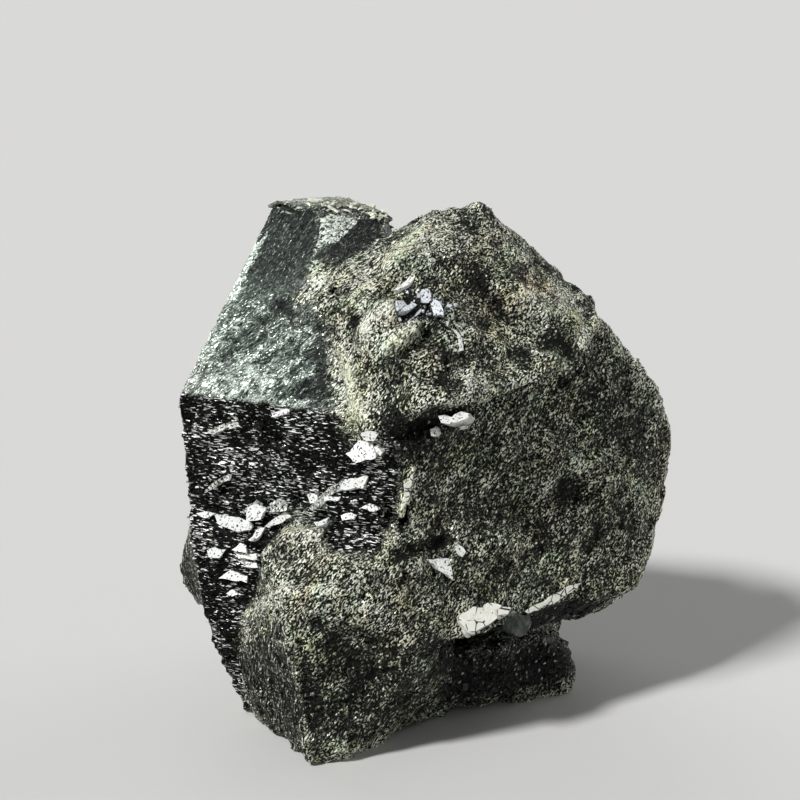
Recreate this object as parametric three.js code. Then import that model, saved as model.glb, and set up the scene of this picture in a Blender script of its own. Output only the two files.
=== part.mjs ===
// A skutterudite specimen: one lump of dark metallic crystals grown together with grey granular ore.
//
// The lump is a handful of convex blocks that run into each other. A block is known by its corners, and
// its faces are the faces of their hull. Crystal blocks keep flat faces and crisp edges. Ore blocks have
// rounded edges and a lumpy skin. The skin of the joined blocks is found on a grid of cells, with one
// point in every cell that it passes through, which makes one closed mesh.
//
// Millimetres, +X to the right, +Y to the back, +Z up. The lump stands on flat feet at z = 0.

import * as THREE from "three";
import { ConvexHull } from "three/addons/math/ConvexHull.js";

// Driving dimensions
const CELL = 1.65; // side of a cell of the grid
const HALF_WIDTH = 33; // the grid reaches this far left and right
const HALF_DEPTH = 27; // and this far to the front and back
const TOP = 60; // and this far up
const LUMPS = [
  { size: 7, height: 0.9 }, // broad swells of the ore
  { size: 3.2, height: 0.5 }, // knobs and pits
];
const SAME_FACE_ANGLE = 3; // hull faces closer than this in degrees count as one face
const SAME_FACE_GAP = 0.35; // when their planes are also this close
const SMALLEST_FACE = 0.3; // square millimetres of hull triangle that still counts as a face

// How each kind of stone ends: rounding of its edges, width of the blend into its neighbours, and the
// share of the lumps that it takes
const CRYSTAL = { edge: 0.2, blend: 0.8, lumpiness: 0 };
const FLAKE = { edge: 0.3, blend: 0.8, lumpiness: 0.3 };
const ORE = { edge: 1, blend: 1.6, lumpiness: 1 };
const DENSE_ORE = { edge: 0.8, blend: 1.6, lumpiness: 0.8 };

// Block corners, [x, y, z]
const BLOCKS = {
  // Smooth slope over a ledge, with the tall stepped face below it
  leftCrystal: {
    kind: CRYSTAL,
    corners: [
      [-26, -6, 37], [-15.5, -11, 36.5], [-3, -16.5, 36.5], // front of the ledge
      [-20, 0.5, 46.5], [-11.5, -3, 46], [-4.5, 0, 49.5], // where the slope steepens
      [-16.5, 5.5, 55], [-11.5, 4.5, 55], [-4.5, 5.5, 54], [-9.5, 9.5, 55], [-15.5, 7.5, 55], // top
      [-3, -16.5, 21.5], [-10.5, -13, 4], [-25.5, -6.5, 23], [-23.5, -7.5, 8.5], [-20, -7.5, 0], // foot
      [-0.5, -0.5, 30], [-14, 5.5, 6], [-21, 4.5, 16], [-22, 5.5, 34], [-10, 11.5, 46], [-3, 7.5, 50],
    ],
  },
  // Step that stands proud of the tall face, low on the left
  lowStep: {
    kind: CRYSTAL,
    corners: [
      [-25.5, -6.5, 23], [-13.5, -11.5, 24], // back of the tread
      [-25.5, -8, 21.5], [-19, -10.5, 21], [-13.5, -13, 22.5], // front of the tread
      [-24, -9, 12], [-20, -11, 8], [-24, -4, 15], [-14, -8, 15], [-20, -6, 8],
    ],
  },
  // Smaller step in the middle of the tall face
  midStep: {
    kind: CRYSTAL,
    corners: [
      [-11, -13, 28.5], [-4.5, -16, 29.5], [-10.5, -14.5, 27.5], [-4.5, -17, 28], // tread
      [-9.5, -15, 22.5], [-4.5, -17.5, 22.5], [-8, -11, 25], [-4, -13, 25],
    ],
  },
  // Thin blade low on the left
  leftFlake: {
    kind: FLAKE,
    corners: [
      [-26.5, 0.5, 19.5], [-28, 2.5, 13.5], [-28, 3.5, 11], [-26, 3, 8.5], [-24, -2.5, 10],
      [-25.5, -3.5, 21], [-17.5, 3.5, 12], [-15.5, 7.5, 18], [-19.5, 3.5, 22],
    ],
  },
  // Foot at the front left, with a three-sided prong that ends in the lowest tip
  frontFoot: {
    kind: DENSE_ORE,
    corners: [
      [-17.5, -13, 21.5], [-15, -14, 24], [-9.5, -16.5, 24.5], [-5.5, -18, 22], [-3, -17, 25], // top
      [-14.5, -20.5, 16.5], [-9, -20.5, 19], [0.5, -18.5, 12.5], [1.5, -18, 17.5], // brow of the prong
      [-20, -11, 8.5], [-20.5, -9.5, 3.5], [-19, -9, 0], [-15, -16.5, 0], [-12, -20.5, 0],
      [-10.5, -20, 0], [-6.5, -16, 0], [3.5, -8, 0], [4.5, -0.5, 0], [-13.5, -0.5, 0], // sole
      [-3.5, 1.5, 24], [2.5, -2.5, 20],
    ],
  },
  // Peak at the top right, which overhangs the wall below it
  peak: {
    kind: ORE,
    corners: [
      [3, 0.5, 56.5], [0, 1, 55.5], [5.5, 1.5, 56], [8, 1.5, 53.5], [12, 1.5, 51], [16.5, 1.5, 47.5],
      [18.5, 1, 46], [19, 0.5, 44.5], [-3.5, 1.5, 52.5], [-8.5, -2.5, 50], // skyline
      [-11, -6.5, 47.5], [-10, -10.5, 43], [-8, -13.5, 38], [-7, -15, 34.5], [-4, -12.5, 47], // left flank
      [1.5, -11, 48], [14.5, -6.5, 44],
      [-5, -16.5, 36.5], [1, -17.5, 39], [6, -16.5, 38.5], [11, -12.5, 39.5], [17.5, -5.5, 41.5], // lip
      [0.5, 10, 45], [14.5, 9.5, 42], [-4, 9.5, 48], [2, 7.5, 38], // rear slope
    ],
  },
  // Broad granular wall at the right
  rightWall: {
    kind: DENSE_ORE,
    corners: [
      [-2.5, -15.5, 34.5], [-2, -18, 22], [1.5, -18, 13], [8, -13.5, 15], [17, -8, 15],
      [24, -4, 13.5], [25.5, -2, 16.5], [10, -7.5, 35], [19, -0.5, 40], // rim of the front face
      [27, 2.5, 21.5], [28, 3.5, 28.5], [26.5, 3.5, 32.5], [24.5, 3, 35], [22, 2.5, 39],
      [19.5, 1, 43], [25.5, 1.5, 13], [20, 0.5, 8], // right edge
      [6.5, 9.5, 18], [18.5, 11.5, 18], [0.5, -2.5, 12], [2.5, 3.5, 34], [20.5, 11.5, 38],
    ],
  },
  // Low shelf under the wall, which is the right foot
  rightShelf: {
    kind: DENSE_ORE,
    corners: [
      [0.5, -11.5, 7], [6, -8.5, 8], [13, -4.5, 7.5], [17, -1.5, 5], [17.5, -1, 2], [1.5, -10, 2],
      [3.5, -8, 0], [9.5, -6, 0], [13.5, -4.5, 0], [17, -2, 0], [14.5, 9.5, 0], [0.5, 7.5, 0], // sole
      [10.5, 9.5, 12], [2.5, 7.5, 10],
    ],
  },
  // Humped back, which is the rear foot
  back: {
    kind: ORE,
    corners: [
      [-19, 6.5, 38], [-20.5, 6.5, 14], [-12.5, 16.5, 32], [3.5, 20.5, 34], [15.5, 15.5, 36],
      [22.5, 10.5, 27], [16.5, 15.5, 10], [-9.5, 16.5, 8], [-1.5, 12.5, 47], [8.5, 9.5, 48],
      [-11.5, 11.5, 0], [8.5, 14.5, 0], [-15.5, 2.5, 0], [14.5, 5.5, 2],
    ],
  },
  // Second crystal at the back left
  rearCrystal: {
    kind: CRYSTAL,
    corners: [
      [-22, 4, 40], [-25, 2, 24], [-18, 13, 17], [-8, 20, 24], [-7, 18, 41], [-14, 9, 52],
      [-21, 6, 12], [-4, 10, 30], [-14, 5, 45],
    ],
  },
  // Heart of the lump, which shows only in the clefts between the other blocks
  core: {
    kind: ORE,
    corners: [
      [-14, 6, 3], [13, 7, 5], [-18, 4, 30], [25, 7, 27], [18, 6, 41], [-8, 9, 49], [11, 5, 49],
      [-6, -11, 32], [8, -7, 14], [-3, -12, 14], [23, 7, 16], [-14, -4, 44], [14, -3, 38],
    ],
  },
};

// Hollows cut up into the sole, which leave a foot at the front, one at the right and one at the back
const HOLLOWS = {
  middle: {
    kind: ORE,
    corners: [
      [-14, 3, -4], [-4, -10, -4], [9, -3, -4], [9, 8, -4], [-4, 11, -4],
      [-10, 1, 2.5], [-3, -7, 2], [6, -2, 3], [6, 6, 2.5], [-3, 8, 2],
    ],
  },
};

// The larger and the smaller of two distances, with the crease between them rounded over a width
function softMax(a, b, width) {
  const overlap = Math.max(width - Math.abs(a - b), 0);
  return Math.max(a, b) + (overlap * overlap) / (4 * width);
}

function softMin(a, b, width) {
  return -softMax(-a, -b, width);
}

// A block's face planes, largest first, with the triangles of one flat face counted once
function facePlanes(corners) {
  const hull = new ConvexHull().setFromPoints(corners.map((corner) => new THREE.Vector3(...corner)));
  const largestFirst = hull.faces
    .filter((face) => face.area / 2 > SMALLEST_FACE)
    .sort((one, other) => other.area - one.area);
  const alike = Math.cos(THREE.MathUtils.degToRad(SAME_FACE_ANGLE));
  const planes = [];
  for (const face of largestFirst) {
    const known = planes.some(
      (plane) =>
        plane.normal.dot(face.normal) > alike &&
        Math.abs(plane.distanceToPoint(face.midpoint)) < SAME_FACE_GAP
    );
    if (!known) {
      planes.push(new THREE.Plane(face.normal.clone(), -face.constant));
    }
  }
  return planes;
}

// A fixed value from 0 to 1 for each whole-number point, so that the lumps are the same every time
function latticeValue(x, y, z, seed) {
  let mixed = Math.imul(x, 374761393) + Math.imul(y, 668265263) + Math.imul(z, 2147483647);
  mixed = (mixed + Math.imul(seed, 1274126177)) >>> 0;
  mixed = Math.imul(mixed ^ (mixed >>> 13), 1274126177) >>> 0;
  return ((mixed ^ (mixed >>> 16)) >>> 0) / 2 ** 32;
}

// Smooth noise from -1 to 1 with swells of one size
function swell(point, size, seed) {
  const scaled = point.clone().divideScalar(size);
  const floor = scaled.clone().floor();
  const part = scaled.sub(floor);
  const ease = (t) => t * t * (3 - 2 * t);
  let sum = 0;
  for (let corner = 0; corner < 8; corner++) {
    const [dx, dy, dz] = cornerStep(corner);
    const weight =
      (dx ? ease(part.x) : 1 - ease(part.x)) *
      (dy ? ease(part.y) : 1 - ease(part.y)) *
      (dz ? ease(part.z) : 1 - ease(part.z));
    sum += weight * latticeValue(floor.x + dx, floor.y + dy, floor.z + dz, seed);
  }
  return 2 * sum - 1;
}

function withPlanes(blocks) {
  return Object.values(blocks).map(({ kind, corners }) => ({ ...kind, planes: facePlanes(corners) }));
}

const blocks = withPlanes(BLOCKS);
const hollows = withPlanes(HOLLOWS);

function distanceToBlock({ edge, lumpiness, planes }, point, lump) {
  const distances = planes.map((plane) => plane.distanceToPoint(point));
  return distances.reduce((furthest, distance) => softMax(furthest, distance, edge)) - lumpiness * lump;
}

// Distance from a point to the skin of the lump, negative inside
function distanceToSkin(point) {
  const lump = LUMPS.reduce((sum, { size, height }, i) => sum + height * swell(point, size, i + 1), 0);
  let skin = distanceToBlock(blocks[0], point, lump);
  for (const block of blocks.slice(1)) {
    skin = softMin(skin, distanceToBlock(block, point, lump), block.blend);
  }
  for (const hollow of hollows) {
    skin = softMax(skin, -distanceToBlock(hollow, point, lump), hollow.blend);
  }
  return Math.max(skin, -point.z);
}

const AXES = [new THREE.Vector3(1, 0, 0), new THREE.Vector3(0, 1, 0), new THREE.Vector3(0, 0, 1)];

// Outward direction of the skin near a point
function skinNormal(point) {
  const step = 0.1;
  const slope = (axis) =>
    distanceToSkin(point.clone().addScaledVector(axis, step)) -
    distanceToSkin(point.clone().addScaledVector(axis, -step));
  const [x, y, z] = AXES.map(slope);
  return new THREE.Vector3(x, y, z).normalize();
}

// The grid. Its lowest points lie half a cell below the ground, so the feet cut through whole cells.
const start = new THREE.Vector3(-HALF_WIDTH, -HALF_DEPTH, -CELL / 2);
const counts = [2 * HALF_WIDTH, 2 * HALF_DEPTH, TOP].map((length) => Math.ceil(length / CELL) + 1);
const strides = [1, counts[0], counts[0] * counts[1]];
const pointCount = counts[0] * counts[1] * counts[2];

function cornerStep(corner) {
  return [corner & 1, (corner >> 1) & 1, corner >> 2];
}

function gridIndex(x, y, z) {
  return x * strides[0] + y * strides[1] + z * strides[2];
}

function gridPlace(index) {
  const z = Math.floor(index / strides[2]);
  const y = Math.floor((index % strides[2]) / strides[1]);
  return [index % strides[1], y, z];
}

function gridPoint(index) {
  return new THREE.Vector3(...gridPlace(index)).multiplyScalar(CELL).add(start);
}

// Every grid point that can be reached from a first one through neighbours on the same side of the skin
function reachable(first, distances) {
  const inside = distances[first] < 0;
  const reached = new Uint8Array(pointCount);
  const waiting = [first];
  reached[first] = 1;
  while (waiting.length) {
    const index = waiting.pop();
    const place = gridPlace(index);
    for (let axis = 0; axis < 3; axis++) {
      for (const side of [-1, 1]) {
        const next = index + side * strides[axis];
        const onGrid = place[axis] + side >= 0 && place[axis] + side < counts[axis];
        if (onGrid && !reached[next] && distances[next] < 0 === inside) {
          reached[next] = 1;
          waiting.push(next);
        }
      }
    }
  }
  return reached;
}

// Number of separate groups that the inside, or the outside, corners of a cell form along its edges
function groupsInCell(cell, distances, inside) {
  let left = [];
  for (let corner = 0; corner < 8; corner++) {
    if (distances[cell + gridIndex(...cornerStep(corner))] < 0 === inside) {
      left.push(corner);
    }
  }
  let groups = 0;
  while (left.length) {
    const group = [left.pop()];
    for (const corner of group) {
      const linked = left.filter((other) => [1, 2, 4].includes(other ^ corner));
      left = left.filter((other) => !linked.includes(other));
      group.push(...linked);
    }
    groups++;
  }
  return groups;
}

function forEachCell(visit) {
  for (let z = 0; z < counts[2] - 1; z++) {
    for (let y = 0; y < counts[1] - 1; y++) {
      for (let x = 0; x < counts[0] - 1; x++) {
        visit(gridIndex(x, y, z));
      }
    }
  }
}

// Fills every cell where the skin would touch itself, one corner at a time, until none is left
function fillPinches(distances) {
  let filled = 0;
  forEachCell((cell) => {
    if (groupsInCell(cell, distances, true) > 1 || groupsInCell(cell, distances, false) > 1) {
      const corners = [0, 1, 2, 3, 4, 5, 6, 7].map((corner) => cell + gridIndex(...cornerStep(corner)));
      const nearest = corners
        .filter((index) => distances[index] >= 0)
        .sort((one, other) => distances[one] - distances[other])[0];
      distances[nearest] = -CELL / 20;
      filled++;
    }
  });
  return filled ? fillPinches(distances) : distances;
}

// Distances at the grid points, for one solid piece with no holes closed up inside it
function sampleGrid() {
  const distances = Float64Array.from({ length: pointCount }, (_, index) => distanceToSkin(gridPoint(index)));
  const heart = gridIndex(...counts.map((count) => Math.floor(count / 2)));
  const solid = reachable(heart, distances);
  const open = reachable(0, distances);
  for (let index = 0; index < pointCount; index++) {
    if (distances[index] < 0 && !solid[index]) {
      distances[index] = CELL / 20;
    } else if (distances[index] >= 0 && !open[index]) {
      distances[index] = -CELL / 20;
    }
  }
  return fillPinches(distances);
}

// The point in a cell that best fits the skin planes where its edges cross the skin
function pointInCell(cell, distances) {
  const crossings = [];
  for (let corner = 0; corner < 8; corner++) {
    for (const bit of [1, 2, 4]) {
      const from = cell + gridIndex(...cornerStep(corner));
      const to = cell + gridIndex(...cornerStep(corner | bit));
      if (!(corner & bit) && distances[from] < 0 !== distances[to] < 0) {
        const share = distances[from] / (distances[from] - distances[to]);
        const point = gridPoint(from).lerp(gridPoint(to), share);
        crossings.push({ point, normal: skinNormal(point) });
      }
    }
  }
  const fit = new THREE.Vector3();
  crossings.forEach(({ point }) => fit.addScaledVector(point, 1 / crossings.length));
  for (let round = 0; round < 12; round++) {
    const pull = new THREE.Vector3();
    for (const { point, normal } of crossings) {
      pull.addScaledVector(normal, normal.dot(point.clone().sub(fit)) / crossings.length);
    }
    fit.add(pull);
  }
  const lowest = gridPoint(cell);
  const onGround = lowest.z < 0;
  fit.clamp(lowest.clone().addScalar(CELL * 0.05), lowest.clone().addScalar(CELL * 0.95));
  return onGround ? fit.setZ(0) : fit;
}

// One point for each cell on the skin, and two triangles for each grid edge that crosses it
function skinGeometry() {
  const distances = sampleGrid();
  const points = [];
  const pointOfCell = new Map();
  forEachCell((cell) => {
    if (groupsInCell(cell, distances, true) && groupsInCell(cell, distances, false)) {
      pointOfCell.set(cell, points.length);
      points.push(pointInCell(cell, distances));
    }
  });
  const triangles = [];
  for (let index = 0; index < pointCount; index++) {
    const place = gridPlace(index);
    for (let axis = 0; axis < 3; axis++) {
      const next = index + strides[axis];
      if (place[axis] + 1 < counts[axis] && distances[index] < 0 !== distances[next] < 0) {
        const back = [strides[(axis + 1) % 3], strides[(axis + 2) % 3]];
        const around = [index, index - back[0], index - back[0] - back[1], index - back[1]];
        const loop = around.map((cell) => pointOfCell.get(cell));
        triangles.push(...splitQuad(distances[index] < 0 ? loop : loop.reverse(), points));
      }
    }
  }
  const geometry = new THREE.BufferGeometry().setFromPoints(points);
  geometry.setIndex(triangles);
  return geometry;
}

// Two triangles from four points, split along the diagonal that lies closer to the skin
function splitQuad([a, b, c, d], points) {
  const offSkin = (one, other) =>
    Math.abs(distanceToSkin(points[one].clone().lerp(points[other], 0.5)));
  return offSkin(a, c) < offSkin(b, d) ? [a, b, c, a, c, d] : [a, b, d, b, c, d];
}

// The specimen, with the middle of its width and depth over the origin
const geometry = skinGeometry();
geometry.computeBoundingBox();
const middle = geometry.boundingBox.getCenter(new THREE.Vector3());
geometry.translate(-middle.x, -middle.y, 0);
geometry.computeVertexNormals();

const darkMetal = new THREE.MeshStandardMaterial({ color: "#6f726a", roughness: 0.55, metalness: 0.5 });
const lump = new THREE.Mesh(geometry, darkMetal);
lump.name = "skutterudite";

const specimen = new THREE.Group();
specimen.add(lump);

export default specimen;
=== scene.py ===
import math
from itertools import product
import bmesh
import bpy
import numpy as np
from mathutils import Euler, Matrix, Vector


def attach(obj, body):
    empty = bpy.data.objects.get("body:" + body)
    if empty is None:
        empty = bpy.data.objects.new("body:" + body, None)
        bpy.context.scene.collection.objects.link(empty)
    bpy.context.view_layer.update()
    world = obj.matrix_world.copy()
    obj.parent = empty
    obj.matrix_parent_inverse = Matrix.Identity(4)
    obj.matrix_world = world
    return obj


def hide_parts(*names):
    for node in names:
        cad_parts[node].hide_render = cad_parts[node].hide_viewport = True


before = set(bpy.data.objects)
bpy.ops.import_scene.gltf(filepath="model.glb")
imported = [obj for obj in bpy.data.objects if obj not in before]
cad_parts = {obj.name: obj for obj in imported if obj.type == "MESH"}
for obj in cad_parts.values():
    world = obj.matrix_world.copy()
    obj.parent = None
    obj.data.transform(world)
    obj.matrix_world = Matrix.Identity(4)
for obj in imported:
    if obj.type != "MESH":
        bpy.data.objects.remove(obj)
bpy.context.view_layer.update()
millimetre = 0.001
print("frame loaded")


# Lengths are in millimetres: x runs to the right, y to the back and z up
stoneForm = {
    "cell": 0.3,  # side of a cell of the grid that the skin is found on
    "cellsInBlock": 6,  # the grid is worked out in blocks of this many cells a side
    "near": (0.87, 0.6),  # blocks this near, a share of their side plus a length, are worked out in full
    "reach": (31, 24.5, 58),  # half width, half depth and height that the grid covers
    "backShift": 0.31,  # the block corners below lie this far in front of the frame's origin
    "swells": [(7, 0.9), (3.2, 0.5), (1.6, 0.2)],  # size and height of the ore's lumps
    "chips": [(2.6, 0.5), (1.15, 0.25)],  # size and height of the ore's broken facets
    "chipSeed": 60,
    "smoothed": 0.85,  # share of the broken facets that a soft patch takes away
    "flow": (0.62, 0.22, 0.75),  # the way that the grain of the ore runs
    "streaks": (0.74, 0.07, 0.67),  # the way that it is drawn out on the streaked flank
    "flowStretch": 0.5,  # how much longer than wide the facets are along it, as a share
    "sameFaceAngle": 3,  # hull faces closer than this in degrees count as one
    "sameFaceGap": 0.35,
    "smallestFace": 0.6,  # hull faces with less area than this are left out
    "faceReach": 2.5,  # relief is worked out this near to its face
    "faceLikeness": 0.86,  # cosine of how far a face may turn away from its relief's direction
    "faceFade": 0.25,  # a face's share fades out over this length past its edge
    "blockFade": 0.45,  # a block's share fades out over this length into its neighbour
    "patchReach": 1.35,  # patches fade out at this many radii
    "patchWander": (0.6, 1.3),  # how far their outlines wander, and over what length
    "fill": 0.02,  # depth inside the skin that a filled corner is given
    "slideStep": 0.05,  # length over which the skin's slope is measured
    "slideRoom": 0.04,  # share of a cell that a sliding point keeps from the cell's walls
    "sharpAngle": 28,  # edges sharper than this in degrees are shaded as edges
    "triangles": 196000,  # the skin is thinned to this, flat places first
}

# How each kind of stone ends: rounding of its edges, width of the blend into its neighbours, and
# the share that it takes of each set of lumps and facets
kinds = {
    "crystal": {"edge": 0.1, "blend": 0.4, "shares": (0, 0, 0, 0, 0.06)},
    "flake": {"edge": 0.2, "blend": 0.4, "shares": (0.2, 0.2, 0.2, 0.2, 0.2)},
    "ore": {"edge": 0.9, "blend": 1.0, "shares": (0.9, 1.0, 0.8, 0.5, 0.9)},
    "denseOre": {"edge": 0.7, "blend": 1.0, "shares": (0.6, 0.5, 0.7, 0.5, 0.75)},
}

blocks = {
    "leftCrystal": {"kind": "crystal", "corners": [
        (-26, -6, 37), (-15.5, -11, 36.5), (-3, -16.5, 36.5),  # front of the ledge
        (-20, 0.5, 46.5), (-11.5, -3, 46), (-4.5, 0, 49.5),  # where the slope steepens
        (-16.5, 5.5, 55), (-11.5, 4.5, 55), (-4.5, 5.5, 54), (-9.5, 9.5, 55), (-15.5, 7.5, 55),  # top
        (-3, -16.5, 21.5), (-10.5, -13, 4), (-25.5, -6.5, 23), (-23.5, -7.5, 8.5), (-20, -7.5, 0),  # foot
        (-0.5, -0.5, 30), (-14, 5.5, 6), (-21, 4.5, 16), (-22, 5.5, 34), (-10, 11.5, 46), (-3, 7.5, 50)]},
    "lowStep": {"kind": "crystal", "corners": [
        (-25.5, -6.5, 23), (-13.5, -11.5, 24), (-25.5, -8, 21.5), (-19, -10.5, 21), (-13.5, -13, 22.5),
        (-24, -9, 12), (-20, -11, 8), (-24, -4, 15), (-14, -8, 15), (-20, -6, 8)]},
    "midStep": {"kind": "crystal", "corners": [
        (-11, -13, 28.5), (-4.5, -16, 29.5), (-10.5, -14.5, 27.5), (-4.5, -17, 28),
        (-9.5, -15, 22.5), (-4.5, -17.5, 22.5), (-8, -11, 25), (-4, -13, 25)]},
    "leftFlake": {"kind": "flake", "corners": [
        (-26.5, 0.5, 19.5), (-28, 2.5, 13.5), (-28, 3.5, 11), (-26, 3, 8.5), (-24, -2.5, 10),
        (-25.5, -3.5, 21), (-17.5, 3.5, 12), (-15.5, 7.5, 18), (-19.5, 3.5, 22)]},
    "frontFoot": {"kind": "denseOre", "corners": [
        (-17.5, -13, 21.5), (-15, -14, 24), (-9.5, -16.5, 24.5), (-5.5, -18, 22), (-3, -17, 25),
        (-14.5, -20.5, 16.5), (-9, -20.5, 19), (0.5, -18.5, 12.5), (1.5, -18, 17.5),
        (-20, -11, 8.5), (-20.5, -9.5, 3.5), (-19, -9, 0), (-15, -16.5, 0), (-12, -20.5, 0),
        (-10.5, -20, 0), (-6.5, -16, 0), (3.5, -8, 0), (4.5, -0.5, 0), (-13.5, -0.5, 0),
        (-3.5, 1.5, 24), (2.5, -2.5, 20)]},
    "peak": {"kind": "ore", "corners": [
        (3, 0.5, 56.5), (0, 1, 55.5), (5.5, 1.5, 56), (8, 1.5, 53.5), (12, 1.5, 51), (16.5, 1.5, 47.5),
        (18.5, 1, 46), (19, 0.5, 44.5), (-3.5, 1.5, 52.5), (-8.5, -2.5, 50),  # skyline
        (-11, -6.5, 47.5), (-10, -10.5, 43), (-8, -13.5, 38), (-7, -15, 34.5), (-4, -12.5, 47),
        (1.5, -11, 48), (14.5, -6.5, 44),
        (-5, -16.5, 36.5), (1, -17.5, 39), (6, -16.5, 38.5), (11, -12.5, 39.5), (17.5, -5.5, 41.5),  # lip
        (0.5, 10, 45), (14.5, 9.5, 42), (-4, 9.5, 48), (2, 7.5, 38)]},
    "rightWall": {"kind": "denseOre", "corners": [
        (-2.5, -15.5, 34.5), (-2, -18, 22), (1.5, -18, 13), (8, -13.5, 15), (17, -8, 15),
        (24, -4, 13.5), (25.5, -2, 16.5), (10, -7.5, 35), (19, -0.5, 40),
        (27, 2.5, 21.5), (28, 3.5, 28.5), (26.5, 3.5, 32.5), (24.5, 3, 35), (22, 2.5, 39),
        (19.5, 1, 43), (25.5, 1.5, 13), (20, 0.5, 8),
        (6.5, 9.5, 18), (18.5, 11.5, 18), (0.5, -2.5, 12), (2.5, 3.5, 34), (20.5, 11.5, 38)]},
    "rightShelf": {"kind": "denseOre", "corners": [
        (0.5, -11.5, 7), (6, -8.5, 8), (13, -4.5, 7.5), (17, -1.5, 5), (17.5, -1, 2), (1.5, -10, 2),
        (3.5, -8, 0), (9.5, -6, 0), (13.5, -4.5, 0), (17, -2, 0), (14.5, 9.5, 0), (0.5, 7.5, 0),
        (10.5, 9.5, 12), (2.5, 7.5, 10)]},
    "back": {"kind": "ore", "corners": [
        (-19, 6.5, 38), (-20.5, 6.5, 14), (-12.5, 16.5, 32), (3.5, 20.5, 34), (15.5, 15.5, 36),
        (22.5, 10.5, 27), (16.5, 15.5, 10), (-9.5, 16.5, 8), (-1.5, 12.5, 47), (8.5, 9.5, 48),
        (-11.5, 11.5, 0), (8.5, 14.5, 0), (-15.5, 2.5, 0), (14.5, 5.5, 2)]},
    "rearCrystal": {"kind": "crystal", "corners": [
        (-22, 4, 40), (-25, 2, 24), (-18, 13, 17), (-8, 20, 24), (-7, 18, 41), (-14, 9, 52),
        (-21, 6, 12), (-4, 10, 30), (-14, 5, 45)]},
    "core": {"kind": "ore", "corners": [
        (-14, 6, 3), (13, 7, 5), (-18, 4, 30), (25, 7, 27), (18, 6, 41), (-8, 9, 49), (11, 5, 49),
        (-6, -11, 32), (8, -7, 14), (-3, -12, 14), (23, 7, 16), (-14, -4, 44), (14, -3, 38)]},
}

# Cut up into the sole, which leaves feet at the front, the right and the back
soleHollow = {"kind": "ore", "corners": [
    (-14, 3, -4), (-4, -10, -4), (9, -3, -4), (9, 8, -4), (-4, 11, -4),
    (-10, 1, 2.5), (-3, -7, 2), (6, -2, 3), (6, 6, 2.5), (-3, 8, 2)]}

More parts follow.
